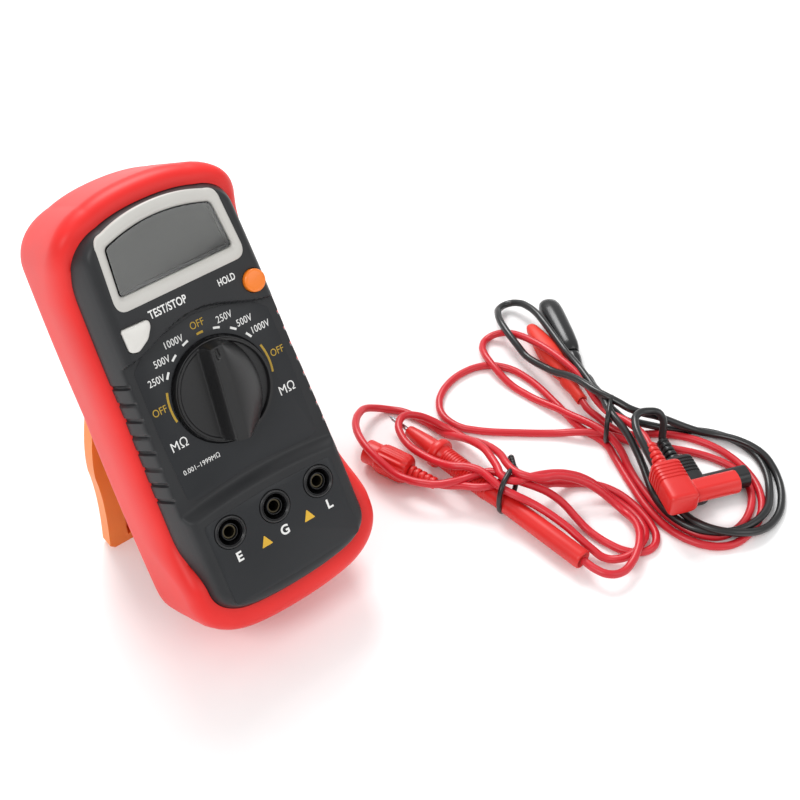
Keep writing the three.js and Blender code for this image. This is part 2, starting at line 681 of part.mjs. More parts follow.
// A strap over the bundle, open underneath where the bundle meets the table.
function tie(name, [x, y], headingDeg, width, height) {
  const outer = width / 2 + gap + tieThickness;
  const inner = width / 2 + gap;
  const top = height + gap;
  const arch = new THREE.Shape();
  arch.moveTo(-outer, 0);
  arch.lineTo(-inner, 0);
  arch.lineTo(-inner, top);
  arch.lineTo(inner, top);
  arch.lineTo(inner, 0);
  arch.lineTo(outer, 0);
  arch.lineTo(outer, top + tieThickness * 0.4);
  arch.lineTo(outer - tieThickness * 0.6, top + tieThickness);
  arch.lineTo(-outer + tieThickness * 0.6, top + tieThickness);
  arch.lineTo(-outer, top + tieThickness * 0.4);
  const geometry = new THREE.ExtrudeGeometry(arch, { depth: tieWidth, bevelEnabled: false });
  geometry.translate(0, 0, -tieWidth / 2).rotateX(Math.PI / 2);
  return named(name, laid(geometry, [x, y], headingDeg), 'rubber', 'rubber');
}

const probePlace = [101.8, -103.8];
const probeHeading = 5.6;
const probeAxis = 6.6;

function probeProfile(grow) {
  const grip = probeGrip / 2 + grow;
  const handle = probeHandle / 2 + grow;
  const collar = 6.5 + grow;
  return [[0, -grow], [handle - 0.4, -grow], [handle, 0.6], [handle, 46], [grip, 50], [grip, 76],
    [collar, 78 - grow], [collar, 81 + grow], [4.2 + grow, 83],
    [2.4 + grow, probeLength + grow], [0, probeLength + grow]];
}

function probe() {
  const body = laid(turnedAlong(probeProfile(0)), probePlace, probeHeading, probeAxis);
  const from = probeLength + gap;
  const needle = turnedAlong([[0, from], [1, from], [1, from + 9], [0, from + 12]], 10);
  return [named('probe_handle', body, 'red', 'plastic'),
    named('probe_tip', laid(needle, probePlace, probeHeading, probeAxis), 'steel', 'metal')];
}

// A straight shrouded plug: strain relief, ribbed grip, open shroud with the pin inside.
const straightPlace = [82, -36.8];
const straightHeading = 18.5;
function straightPlugProfile(grow) {
  const relief = reliefDiameter / 2 + grow;
  const grip = plugGrip / 2 + grow;
  const end = reliefLength + plugGripLength;
  return [[0, -grow], [relief, -grow], [relief, reliefLength - grow], [grip - 1.4, reliefLength - grow],
    [grip, reliefLength + 3], [grip, end - 3], [grip - 1, end + grow]];
}

function straightPlug() {
  const end = reliefLength + plugGripLength;
  const bore = plugShroud / 2 - 1;
  const profile = [...straightPlugProfile(0), [bore, end], [bore, reliefLength + 4], [0, reliefLength + 4]];
  const from = reliefLength + 4 + gap;
  const pin = turnedAlong([[0, from], [plugPin / 2, from], [plugPin / 2, end - 2.6], [0, end - 1.6]], 12);
  const plug = laid(turnedAlong(profile), straightPlace, straightHeading, plugGrip / 2);
  return [named('probe_plug', plug, 'red', 'plastic'),
    named('probe_plug_pin', laid(pin, straightPlace, straightHeading, plugGrip / 2), 'brass', 'metal')];
}

const shroudY = 6 - plugGripLength / 2;

// A right-angle shrouded plug: the cable enters the grip from behind and the shroud leaves it sideways.
function anglePlugParts(grow) {
  const grip = box(plugGrip + 2 * grow, plugGripLength + 2 * grow, 11 + 2 * grow, 0, 0, 0);
  const reliefRadius = reliefDiameter / 2 + grow;
  const relief = new THREE.CylinderGeometry(reliefRadius, reliefRadius, reliefLength + 1, 12);
  relief.translate(0, plugGripLength / 2 + reliefLength / 2 - 0.5, 0);
  const reach = plugShroudLength + grow;
  const shroud = alongX(plugShroud / 2 + grow, plugGrip / 2 - 1, plugGrip / 2 + reach, shroudY, 0, 16);
  return join(grip, relief, shroud);
}

function anglePlug(name, place, headingDeg, z, colour) {
  const start = plugGrip / 2 + 1;
  const bore = alongX(plugShroud / 2 - 1, start, start + plugShroudLength, shroudY, 0, 16);
  const pin = alongX(plugPin / 2, start + gap, start + gap + plugShroudLength - 3.6, shroudY, 0, 12);
  return [named(name, laid(cut(anglePlugParts(0), bore), place, headingDeg, z), colour, 'plastic'),
    named(`${name}_pin`, laid(pin, place, headingDeg, z), 'brass', 'metal')];
}

const blackPlugPlace = [164.6, -100];
const redPlugPlace = [149.7, -105];
const plugHeading = -22;
const plugHalfHeight = 5.5;

// A crocodile clip in its soft boot, as a fixed lower half and a sprung upper half.
function clipPlan(grow) {
  const wide = clipWidth / 2 + grow;
  const neck = 3.2 + grow;
  const shape = new THREE.Shape();
  shape.moveTo(-neck, -grow);
  shape.lineTo(neck, -grow);
  shape.lineTo(neck, 13);
  shape.quadraticCurveTo(wide, 20, wide, 30);
  shape.quadraticCurveTo(wide, 42, 3.6 + grow, clipLength + grow);
  shape.lineTo(-3.6 - grow, clipLength + grow);
  shape.quadraticCurveTo(-wide, 42, -wide, 30);
  shape.quadraticCurveTo(-wide, 20, -neck, 13);
  return shape;
}

// A crocodile clip in its soft boot: a fixed lower half with the cable's neck, and a sprung upper half.
function clip(name, place, headingDeg, colour) {
  const half = clipHeight / 2;
  const mouth = box(20, clipLength, 10, 0, clipNeck + clipLength / 2, half + 5 - gap / 2);
  const lower = cut(slab(clipPlan(0), 0, half + 2.4), mouth);
  const neck = box(20, clipNeck + 2, 20, 0, clipNeck / 2 - 1 + clipHingeGap, half);
  const upper = cut(slab(clipPlan(0), half + gap / 2, clipHeight), neck);
  return [named(`${name}_lower`, laid(lower, place, headingDeg), colour, 'plastic'),
    named(`${name}_upper`, laid(upper, place, headingDeg), colour, 'plastic')];
}

const redClipPlace = [165.2, -38];
const redClipHeading = -16;
const blackClipPlace = [175.6, -27.5];
const blackClipHeading = -24.6;

const probeTiePlace = [101, -60];
const probeTieHeading = 24;
const probeTieWidth = 17;
const clipTiePlace = [162, -57];
const clipTieHeading = 38;
const clipTieWidth = 20;

function clipKeepOut(place, headingDeg) {
  return laid(slab(clipPlan(gap), -1, 30), place, headingDeg);
}

// Outer shape of the probe lead's loops, from the left loop round the right one.
const probeHankOutline = [
  [66, -22], [66, -6], [72, 6], [82, 15], [92, 17], [101, 11], [107, -4], [109.5, -22],
  [109.5, -40], [107, -54], [110.5, -65], [126, -70], [135, -79], [140, -92], [139, -108],
  [133, -116], [122, -118], [110, -114], [106, -100], [104, -84], [100, -72], [95, -62],
  [85, -51], [73, -38]];
// Outer shape of the two clip leads' loops.
const clipHankOutline = [
  [114, -8], [117, 3], [126, 10], [140, 11], [150, 14], [158, 22], [168, 26], [178, 34],
  [186, 36], [190, 28], [186.5, 10], [180.5, -10], [173, -30], [169, -43], [170.5, -58],
  [186, -72], [200, -86], [206, -102], [204, -120], [193, -134], [176, -140], [157, -137],
  [147, -127], [143, -112], [145.5, -94], [152, -78], [156.5, -64], [149, -52], [133, -38],
  [120, -26]];

function leads() {
  const probeTop = hankHeight + hankHump;
  const hump = laid(box(probeTieWidth, 16, probeTop, 0, 0, probeTop / 2), probeTiePlace, probeTieHeading);
  const probeBody = laid(turnedAlong(probeProfile(gap)), probePlace, probeHeading, probeAxis);
  const needleRoom = laid(box(3, 16, 20, 0, probeLength + 8, 0), probePlace, probeHeading, 10);
  const plugSkin = [...straightPlugProfile(gap), [0, reliefLength + plugGripLength + gap]];
  const plugBody = laid(turnedAlong(plugSkin), straightPlace, straightHeading, plugGrip / 2);
  const probeLoops = join(hankSolid(probeHankOutline, hankHeight), hump);
  const probeHank = cut(probeLoops, probeBody, plugBody, needleRoom);
  const clipTop = hankHeight + clipPile;
  const waist = laid(box(clipTieWidth - 3, 12, clipTop, 0, 0, clipTop / 2), clipTiePlace, clipTieHeading);
  const blackBody = laid(anglePlugParts(gap), blackPlugPlace, plugHeading, plugHalfHeight);
  const clipHank = cut(join(hankSolid(clipHankOutline, hankHeight), waist), blackBody,
    clipKeepOut(redClipPlace, redClipHeading), clipKeepOut(blackClipPlace, blackClipHeading));
  return [
    named('probe_lead_hank', probeHank, 'cable', 'plastic'), ...probe(), ...straightPlug(),
    tie('probe_lead_tie', probeTiePlace, probeTieHeading, probeTieWidth, probeTop),
    named('clip_leads_hank', clipHank, 'black', 'plastic'),
    tie('clip_leads_tie', clipTiePlace, clipTieHeading, clipTieWidth, clipTop),
    ...anglePlug('black_plug', blackPlugPlace, plugHeading, plugHalfHeight, 'black'),
    ...anglePlug('red_plug', redPlugPlace, plugHeading, 3 * plugHalfHeight + 2 * gap, 'red'),
    ...clip('red_clip', redClipPlace, redClipHeading, 'red'),
    ...clip('black_clip', blackClipPlace, blackClipHeading, 'black'),
  ];
}

// ---------------------------------------------------------------- assembly
const face = new THREE.Group();
const holsterMesh = holster();
const tableHeight = holsterBottomHeight(holsterMesh);
face.add(frontCase(), backCase(), batteryCover(), ...cells(), ...contactPlates(), ...caseScrews());
face.add(holsterMesh, kickstand(tableHeight), ...standPins());
face.add(...display(), knob(), ...rotor(), ...buttons(), ...jacks(), ...electronics());
face.rotation.x = lean;
face.updateMatrixWorld(true);
const bounds = new THREE.Box3().setFromObject(face, true);
face.position.set(0, -(bounds.min.y + bounds.max.y) / 2, -bounds.min.z);

const tester = new THREE.Group();
tester.add(face, ...leads());

export default tester;
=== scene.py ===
# %% [markdown]
# # An insulation resistance tester and its test leads
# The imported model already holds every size, place and joint of the tester.
# This lesson dresses it: each cell makes one piece or one finish of the real object,
# and the cell before it says what that is and why it is made in this way.
# Lengths are in millimetres while a shape is drawn, and turn to metres when it becomes a mesh.

# %% Load the frame
import json
import math

import bmesh
import bpy
import numpy as np
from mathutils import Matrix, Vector

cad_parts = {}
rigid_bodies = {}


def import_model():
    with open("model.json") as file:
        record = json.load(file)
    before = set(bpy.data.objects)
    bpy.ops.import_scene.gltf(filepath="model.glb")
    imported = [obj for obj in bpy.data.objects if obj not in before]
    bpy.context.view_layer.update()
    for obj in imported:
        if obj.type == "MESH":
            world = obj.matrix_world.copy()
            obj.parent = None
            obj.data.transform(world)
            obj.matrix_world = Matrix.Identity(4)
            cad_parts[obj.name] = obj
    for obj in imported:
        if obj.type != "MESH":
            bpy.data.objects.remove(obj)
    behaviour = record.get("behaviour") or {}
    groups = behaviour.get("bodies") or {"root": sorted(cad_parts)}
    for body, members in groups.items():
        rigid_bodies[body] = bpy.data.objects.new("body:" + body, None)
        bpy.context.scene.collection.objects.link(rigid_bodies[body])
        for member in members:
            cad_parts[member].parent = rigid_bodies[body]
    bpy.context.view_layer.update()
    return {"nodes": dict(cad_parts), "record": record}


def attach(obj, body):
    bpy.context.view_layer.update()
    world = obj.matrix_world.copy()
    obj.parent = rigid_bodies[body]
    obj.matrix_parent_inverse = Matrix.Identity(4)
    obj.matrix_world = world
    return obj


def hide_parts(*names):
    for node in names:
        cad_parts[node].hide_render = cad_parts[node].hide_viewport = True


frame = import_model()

MM = 0.001

# %% [markdown]
# ## The face frame
# The tester leans back on its stand, so everything on its front is drawn in a frame of its own:
# x to the right, y up the face and z out of it, with the middle socket as the origin.
# The mount on that socket's rim gives the frame: its axis is the normal of the face.

# %% The face frame from the middle socket's mount
RIM_SPOT = np.array([5.15, 0.0, 4.0])     # the mount's point on the rim, in the face frame
mount = next(m for m in frame["record"]["mounts"] if m["name"] == "socket_g")
FACE_Z = Vector(mount["axis"]).normalized()
FACE_X = Vector((1, 0, 0))
FACE_Y = FACE_Z.cross(FACE_X)
FACE_BASIS = np.array([FACE_X, FACE_Y, FACE_Z])
FACE_ORIGIN = np.array(mount["pos_m"]) / MM - RIM_SPOT @ FACE_BASIS


def from_face(points):
    """Points of the face frame, in millimetres, as points of the part in metres."""
    return (np.asarray(points, float) @ FACE_BASIS + FACE_ORIGIN) * MM


print("face origin", FACE_ORIGIN.round(2), "normal", FACE_Z)

# %% [markdown]
# ## The camera
# A short telephoto looks down on the table from the front left, so the tester keeps nearly parallel sides.
# It has no roll, and everything is sharp, as in a catalogue picture.
# A camera could be aimed with a tracking constraint, but a direction worked out from two angles is
# plainer: one angle to turn it and one to tip it.

# %% Camera
CAMERA_PLACE = Vector((-161.4, -317.5, 431.4)) * MM
CAMERA_AZIMUTH = math.radians(38.66)
CAMERA_ELEVATION = math.radians(45.34)
FOCAL_LENGTH, SENSOR_WIDTH = 61.26, 36
level = math.cos(CAMERA_ELEVATION)
looking = Vector((math.sin(CAMERA_AZIMUTH) * level, math.cos(CAMERA_AZIMUTH) * level,
                  -math.sin(CAMERA_ELEVATION)))
lens = bpy.data.cameras.new("camera")
lens.lens = FOCAL_LENGTH
lens.sensor_width = SENSOR_WIDTH
lens.dof.use_dof = False
camera = bpy.data.objects.new("camera", lens)
camera.location = CAMERA_PLACE
camera.rotation_euler = looking.to_track_quat("-Z", "Y").to_euler()
bpy.context.collection.objects.link(camera)
bpy.context.scene.camera = camera
print("camera looks along", looking)

# %% [markdown]
# ## Helpers for finishes
# Colours are written as screen colours and turned to linear light in one place, because a shader
# counts light and a screen code doesn't.
# `add` puts one shader node into a tree with its settings and its incoming links.
# Nearly all of the tester is moulded plastic or rubber, so one function builds such a surface:
# an even colour with a slow drift, a gloss that drifts with it, and a fine grain as bump.
# The grain could be modelled or painted, but a noise in the object's own space needs no unwrapping.

# %% Colours and nodes
def linear(code):
    """A screen colour such as 'f8483f' as a linear colour with alpha, by the sRGB curve."""
    screen = [int(code[k:k + 2], 16) / 255 for k in (0, 2, 4)]
    return (*[v / 12.92 if v <= 0.04045 else ((v + 0.055) / 1.055) ** 2.4 for v in screen], 1.0)


def add(tree, kind, settings=None, links=None):
    """One shader node, with socket values or properties set and its inputs linked."""
    node = tree.nodes.new("ShaderNode" + kind)
    for name, value in (settings or {}).items():
        if name in node.inputs:
            node.inputs[name].default_value = value
        else:
            setattr(node, name, value)
    for name, source in (links or {}).items():
        tree.links.new(source, node.inputs[name])
    return node


DRIFT_WIDTH = 22.2                         # breadth of the slow changes of colour and gloss
DRIFT_LOW, DRIFT_HIGH = 0.3, 0.7           # the part of the noise over which the colour changes
GLOSS_DOWN, GLOSS_UP = 0.04, 0.06          # how far the roughness strays from its middle


def moulded(name, colour, shade, roughness, grain, depth, **more):
    """A moulded surface. The grain is the size of its fine texture and the depth its height, in
    millimetres. Its colour drifts slowly towards the shade, as handled plastic does."""
    material = bpy.data.materials.new(name)
    material.use_nodes = True
    tree = material.node_tree
    tree.nodes.clear()
    place = add(tree, "TexCoord").outputs["Object"]
    fine = add(tree, "TexNoise", {"Scale": 1 / (grain * MM), "Detail": 3.0, "Roughness": 0.6},
               {"Vector": place})
    broad = add(tree, "TexNoise", {"Scale": 1 / (DRIFT_WIDTH * MM), "Detail": 2.0}, {"Vector": place})
    tint = add(tree, "ValToRGB", None, {"Fac": broad.outputs["Fac"]})
    ends = zip(tint.color_ramp.elements, (DRIFT_LOW, DRIFT_HIGH), (shade, colour))
    for end, position, code in ends:
        end.position = position
        end.color = linear(code)
    gloss = add(tree, "MapRange", {"To Min": roughness - GLOSS_DOWN, "To Max": roughness + GLOSS_UP},
                {"Value": broad.outputs["Fac"]})
    bump = add(tree, "Bump", {"Strength": 0.5, "Distance": depth * MM}, {"Height": fine.outputs["Fac"]})
    surface = add(tree, "BsdfPrincipled", more, {
        "Base Color": tint.outputs["Color"], "Roughness": gloss.outputs["Result"],
        "Normal": bump.outputs["Normal"]})
    add(tree, "OutputMaterial", None, {"Surface": surface.outputs["BSDF"]})
    return material


print("a moulded surface drifts in colour over", DRIFT_WIDTH, "mm")

# %% [markdown]
# ## Helpers for shapes
# A piece is a skin of rings, each ring a loop of points, closed at both ends.
# Turned pieces are rings round an axis, and lofted ones are outlines at several heights.
# Boxes and cylinders under a bevel modifier could do much of it, but rings give each edge its own
# roundness and leave a closed mesh that needs nothing applied.

# %% Meshes from rings
def body_mesh(name, vertices, faces, finish, body, stands_for=(), sharp=35):
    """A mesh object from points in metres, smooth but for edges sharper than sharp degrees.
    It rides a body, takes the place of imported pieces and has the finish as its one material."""
    mesh = bpy.data.meshes.new(name)
    mesh.from_pydata([tuple(v) for v in vertices], [], faces)
    mesh.update()
    mesh.materials.append(finish)
    mesh.shade_smooth()
    mesh.set_sharp_from_angle(angle=math.radians(sharp))
    piece = bpy.data.objects.new(name, mesh)
    bpy.context.collection.objects.link(piece)
    if body:
        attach(piece, body)
    if stands_for:
        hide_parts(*stands_for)
    return piece


def skin(rings, ends=True):
    """Points and faces of a skin over rings of equal length, counter-clockwise seen from the last ring."""
    count = len(rings[0])
    points = [p for ring in rings for p in ring]
    faces = []
    for k in range(len(rings) - 1):
        for j in range(count):
            n = (j + 1) % count
            faces.append((k * count + j, k * count + n, (k + 1) * count + n, (k + 1) * count + j))
    if ends:
        faces.append(tuple(range(count))[::-1])
        faces.append(tuple(range(len(points) - count, len(points))))
    return points, faces


def turned(profile, sides=48):
    """Rings round the z axis for a profile of (radius, z) pairs."""
    turns = [2 * math.pi * k / sides for k in range(sides)]
    return [[(r * math.cos(a), r * math.sin(a), z) for a in turns] for r, z in profile]


def laid(points, place, heading, height):
    """Points of a piece that lies on the table. Its y axis points along heading, which is counted
    in degrees from the table's y axis to the left."""
    turn = math.radians(heading)
    x, y, z = np.asarray(points, float).T
    return np.array([place[0] + x * math.cos(turn) - y * math.sin(turn),
                     place[1] + x * math.sin(turn) + y * math.cos(turn), z + height]).T * MM


def along(points):
    """Points drawn round the z axis, turned to run along y."""
    x, y, z = np.asarray(points, float).T
    return np.array([-x, z, y]).T


print("a disc of two rings has", len(skin(turned([(1, 0), (1, 1)]))[1]), "faces")

# %% [markdown]
# ## Where the lead ends lie
# The plugs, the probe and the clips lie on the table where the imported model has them.
# Each end gives its cable a place to leave from, a height and a direction.
# A place is x and y on the table, and a heading is in degrees from the y axis to the left.

# %% Places of the lead ends
CABLE = 3.3                                # diameter of the silicone test cable
PROBE_PLACE, PROBE_HEADING, PROBE_AXIS = (101.8, -103.8), 5.6, 6.6
STRAIGHT_PLACE, STRAIGHT_HEADING, STRAIGHT_AXIS = (82.0, -36.8), 18.5, 6.5
BLACK_PLUG_PLACE, BLACK_PLUG_AXIS = (164.6, -100.0), 5.5
RED_PLUG_PLACE, RED_PLUG_AXIS = (149.7, -105.0), 17.1
ANGLE_PLUG_HEADING = -22.0
RED_CLIP_PLACE, RED_CLIP_HEADING = (165.2, -38.0), -16.0
BLACK_CLIP_PLACE, BLACK_CLIP_HEADING = (175.6, -27.5), -24.6
CLIP_AXIS = 3.6                            # height of the cable where it enters a clip
PROBE_TIE, PROBE_TIE_HEADING = (101.0, -60.0), 24.0
CLIP_TIE, CLIP_TIE_HEADING = (162.0, -57.0), 38.0
RELIEF_END = 23.5                          # how far behind an angled plug's middle its cable starts


def ahead(place, heading, distance):
    """The point at that distance ahead of a place on the table."""
    turn = math.radians(heading)
    return (place[0] - math.sin(turn) * distance, place[1] + math.cos(turn) * distance)


def in_tie(tie, heading, across):
    """Where a strand passes a tie, that far to the right of its middle."""
    return ahead(tie, heading - 90, across)


print("the black cable leaves its plug at", ahead(BLACK_PLUG_PLACE, ANGLE_PLUG_HEADING, RELIEF_END))

# %% [markdown]
# ## How the leads lie
# Each lead is one flexible cable of fixed length, folded into loops and tied at the waist.
# Its route over the table is drawn from one end to the other.
# The heights follow by laying it down in order: a later stretch rests on what lies under it.
# Silicone cable is limp but not slack, so it climbs over another strand in a long low hump.
# A cloth or rope simulation could drop it, but would not keep the loops where they lie.

# %% Lay a cable on the table
STEP = 1.0                                 # spacing of the worked-out points
HUMP_RADIUS = 48.0                         # how gently a cable bends over another
BEDDED = 0.4                               # strands wedge beside each other, so each counts as thinner
FREE_FROM = 14                             # nearer its end than this a cable rests on no other piece
PINNED_TO, FIXED_TO = 9, 6                 # nearer still it has the height of the piece that holds it
SELF_GAP = 9                               # points this near along a cable don't rest on each other
SOFTENING, SOFT_REACH = 3.0, 9             # width and reach, in points, of the smoothing of humps
ROUNDS = 12                                # how often a cable settles on itself


def smooth_route(points, step=STEP):
    """A smooth curve through points of the table, as evenly spaced points."""
    points = np.asarray(points, float)
    ends = np.vstack([2 * points[0] - points[1], points, 2 * points[-1] - points[-2]])
    curve = []
    for a, b, c, d in zip(ends, ends[1:], ends[2:], ends[3:]):
        gaps = [max(np.linalg.norm(q - p), 1e-6) ** 0.5 for p, q in ((a, b), (b, c), (c, d))]
        m1 = (c - b) + gaps[1] * ((b - a) / gaps[0] - (c - a) / (gaps[0] + gaps[1]))
        m2 = (c - b) + gaps[1] * ((d - c) / gaps[2] - (d - b) / (gaps[1] + gaps[2]))
        t = np.linspace(0, 1, 40, endpoint=False)[:, None]
        curve.append((2 * t**3 - 3 * t**2 + 1) * b + (t**3 - 2 * t**2 + t) * m1
                     + (3 * t**2 - 2 * t**3) * c + (t**3 - t**2) * m2)
    curve = np.vstack(curve + [points[-1:]])
    run = np.concatenate([[0], np.cumsum(np.linalg.norm(np.diff(curve, axis=0), axis=1))])
    even = np.linspace(0, run[-1], int(run[-1] / step))
    return np.column_stack([np.interp(even, run, curve[:, k]) for k in (0, 1)])


def rest_on(spot, below, radius):
    """Lowest height at which a strand clears points below, given as x, y, z and radius."""
    apart = np.hypot(spot[:, None, 0] - below[None, :, 0], spot[:, None, 1] - below[None, :, 1])
    reach = below[None, :, 3] + radius
    lift = np.sqrt(np.clip(reach**2 - apart**2, 0, None))
    return np.where(apart < reach, below[None, :, 2] + lift, 0.0)


def lay(route, start_height, end_height, below):
    """Heights of a cable along its route, on the table, on what lies below and on itself."""
    radius = CABLE / 2
    spot = smooth_route(route)
    count = len(spot)
    order = np.arange(count)
    run = order * STEP
    from_end = np.minimum(run, run[-1] - run)
    pinned = np.where(run < run[-1] / 2, start_height, end_height)
    floor = np.full(count, radius)
    if len(below):
        held = rest_on(spot, below, radius).max(axis=1)
        floor = np.maximum(floor, np.where(from_end > FREE_FROM, held, 0))
    height = floor.copy()
    earlier = order[None, :] < order[:, None] - SELF_GAP
    kernel = np.exp(-0.5 * (np.arange(-SOFT_REACH, SOFT_REACH + 1) / SOFTENING) ** 2)
    drop = (run[:, None] - run[None, :]) ** 2 / (2 * HUMP_RADIUS)
    for _ in range(ROUNDS):
        own = np.column_stack([spot, height, np.full(count, radius * BEDDED)])
        crossing = np.where(earlier, rest_on(spot, own, radius), 0).max(axis=1)
        lowest = np.maximum(floor, crossing)
        lowest = np.where(from_end < PINNED_TO, pinned, lowest)
        bent = (lowest[None, :] - drop).max(axis=1)
        soft = np.convolve(np.pad(bent, SOFT_REACH, mode="edge"), kernel / kernel.sum(), mode="valid")
        height = np.where(from_end < FIXED_TO, pinned, np.maximum(soft, radius))
    return np.column_stack([spot, height])


def as_obstacle(points, radius):
    """Points of a laid cable or piece, with its radius, for later cables to rest on."""
    return np.column_stack([points, np.full(len(points), radius)])


def straight_piece(place, heading, start, end, height, radius):
    """A straight stretch of a plug, probe or clip, for cables to rest on."""
    axis = [(*ahead(place, heading, distance), height) for distance in np.arange(start, end, 1.5)]
    return as_obstacle(np.array(axis), radius)


print("a strand counts as", round(CABLE * BEDDED, 2), "mm thick where another lies over it")

# %% [markdown]
# ## The probe lead's route
# It leaves the straight plug, passes the tie five times and ends in the tail of the probe.
# Two loops lie behind the tie and three in front of it.
# The probe and the plug lie under its strands.
# The loops are all unlike, so their points are listed and not worked out.

# %% Probe lead
def probe_strand(across):
    """Where a strand of the probe lead passes its tie."""
    return in_tie(PROBE_TIE, PROBE_TIE_HEADING, across)


probe_route = [
    STRAIGHT_PLACE, ahead(STRAIGHT_PLACE, STRAIGHT_HEADING, -6), (86.5, -46), (91, -52.5), (97.5, -56.5),
    probe_strand(5.6),
    (112, -64.5), (125, -67.5), (133, -72), (138.5, -79), (141, -88), (140.5, -99), (138, -108),
    (133.5, -113.5),
    (127, -113.5), (121, -108), (118, -99), (116.5, -88), (113.5, -75), probe_strand(2.4),
    (99, -50), (92, -47), (80, -41.5), (72, -31), (68.5, -18), (68.5, -6), (72, 4), (78, 11), (86, 15.5),
    (94, 14),
    (100.5, 7.5), (103.5, -1), (105.5, -11), (106.5, -26), (105.5, -40), (102.5, -50), probe_strand(-0.8),
    (113, -65.5), (124, -70), (132.5, -77), (137, -88), (137.5, -98), (134, -107), (127, -111), (119, -112),
    (112.5, -107.5), (109, -98), (106.5, -86), (102.5, -73), probe_strand(-4.2),
    (95, -46.5), (89.5, -39), (86.5, -30), (85, -20), (86, -9.5), (90, -2.5), (95.5, -0.5), (101, -4),
    (106, -11),
    (109.5, -22), (110.3, -34), (108, -47), probe_strand(4.0),
    (109, -67.5), (119.5, -72), (129, -80), (134.5, -91), (133, -102), (127, -110), (118, -115.5),
    (109.5, -117),
    (103.5, -113.5), ahead(PROBE_PLACE, PROBE_HEADING, -5), PROBE_PLACE]
probe_under = straight_piece(PROBE_PLACE, PROBE_HEADING, 1, 98, PROBE_AXIS, 4.3)
plug_under = straight_piece(STRAIGHT_PLACE, STRAIGHT_HEADING, 4, 34, STRAIGHT_AXIS, 6.5)
probe_lead = lay(probe_route, STRAIGHT_AXIS, PROBE_AXIS, np.vstack([probe_under, plug_under]))

# %% [markdown]
# ## The clip leads' routes
# Both clip leads share the second tie. The red one was laid down first and the black one over it.
# Each goes from its clip through four loops to its angled plug, and the black one ends in a tight
# turn, because its plug lies under the red one. Both routes are listed, like the probe lead's.

# %% Clip leads
def clip_strand(across):
    """Where a strand of the clip leads passes their tie."""
    return in_tie(CLIP_TIE, CLIP_TIE_HEADING, across)


red_route = [
    RED_CLIP_PLACE, ahead(RED_CLIP_PLACE, RED_CLIP_HEADING, -6), (163.8, -49), clip_strand(2.9),
    (168, -64), (178, -71.5), (187, -82), (192, -95), (192, -109), (188, -120), (180, -128.5), (169, -133),
    (157, -133), (148.5, -126.5), (143.5, -114), (144, -100), (148, -86), (153, -72), clip_strand(-7.0),
    (154.5, -48), (156.5, -30), (157.5, -14), (155, -1), (148, 7), (138, 9.8), (127.5, 8.6), (118, 3.5),
    (113, -4),
    (113.5, -14), (120, -23), (132, -34), (146, -46), clip_strand(-3.7),
    (168.5, -72), (178.5, -84), (185.5, -95), (188.5, -106), (186, -116.5), (178, -124.5), (167, -128.5),
    (156, -127),
    (149.5, -119), (147.5, -107), (149, -95), (153, -81), (157, -69), clip_strand(-5.4),
    (154, -37), (151, -23), (148.5, -8), (149.5, 5), (153, 14.5), (158.5, 19.5), (164.5, 18.5), (168, 12),
    (169.6, 1),
    (170.3, -14), (169.5, -31), (166.5, -46), clip_strand(-0.4), (161.8, -68),
    ahead(RED_PLUG_PLACE, ANGLE_PLUG_HEADING, 29), ahead(RED_PLUG_PLACE, ANGLE_PLUG_HEADING, RELIEF_END)]
black_route = [
    BLACK_CLIP_PLACE, ahead(BLACK_CLIP_PLACE, BLACK_CLIP_HEADING, -6), (169.5, -41.5), (167, -50),
    clip_strand(6.2),
    (167, -61), (177.5, -68.5), (188.5, -77), (197, -86), (201.5, -96), (201.5, -107), (197.5, -116),
    (190, -124),
    (180, -130.5), (168, -131.5), (157, -127), (149.5, -118), (147.5, -107), (150, -96), (154, -84),
    (158, -70), clip_strand(-2.0),
    (166, -47), (169.5, -37), (173.5, -24), (178.5, -9), (183, 7), (185.7, 20), (184.5, 29.5),
    (178.5, 31), (171.5, 25),
    (166.5, 14), (164, 0), (163.6, -15), (164.3, -31), (163.6, -46), clip_strand(4.6),
    (169.5, -64), (181, -72.5), (192.5, -83.5), (200.5, -96.5), (203, -109), (199.5, -120),
    (192.5, -128.5), (183, -134.5),
    (170.5, -136), (159.5, -131), (152.5, -122), (150.8, -110), (152.5, -97), (155.5, -84), (160, -73.5),
    (165.5, -68.5),
    (171.5, -69),
    ahead(BLACK_PLUG_PLACE, ANGLE_PLUG_HEADING, 30),
    ahead(BLACK_PLUG_PLACE, ANGLE_PLUG_HEADING, RELIEF_END)]
NECK_UNDER, BOOT_UNDER = 3.4, 4.8          # radius of a clip's neck and of its boot
clips_under = np.vstack([
    straight_piece(RED_CLIP_PLACE, RED_CLIP_HEADING, 2, 14, CLIP_AXIS, NECK_UNDER),
    straight_piece(RED_CLIP_PLACE, RED_CLIP_HEADING, 14, 50, BOOT_UNDER, BOOT_UNDER),
    straight_piece(BLACK_CLIP_PLACE, BLACK_CLIP_HEADING, 2, 14, CLIP_AXIS, NECK_UNDER)])
red_lead = lay(red_route, CLIP_AXIS, RED_PLUG_AXIS, clips_under)
black_under = np.vstack([clips_under, as_obstacle(red_lead, CABLE / 2 * BEDDED)])
black_lead = lay(black_route, CLIP_AXIS, BLACK_PLUG_AXIS, black_under)
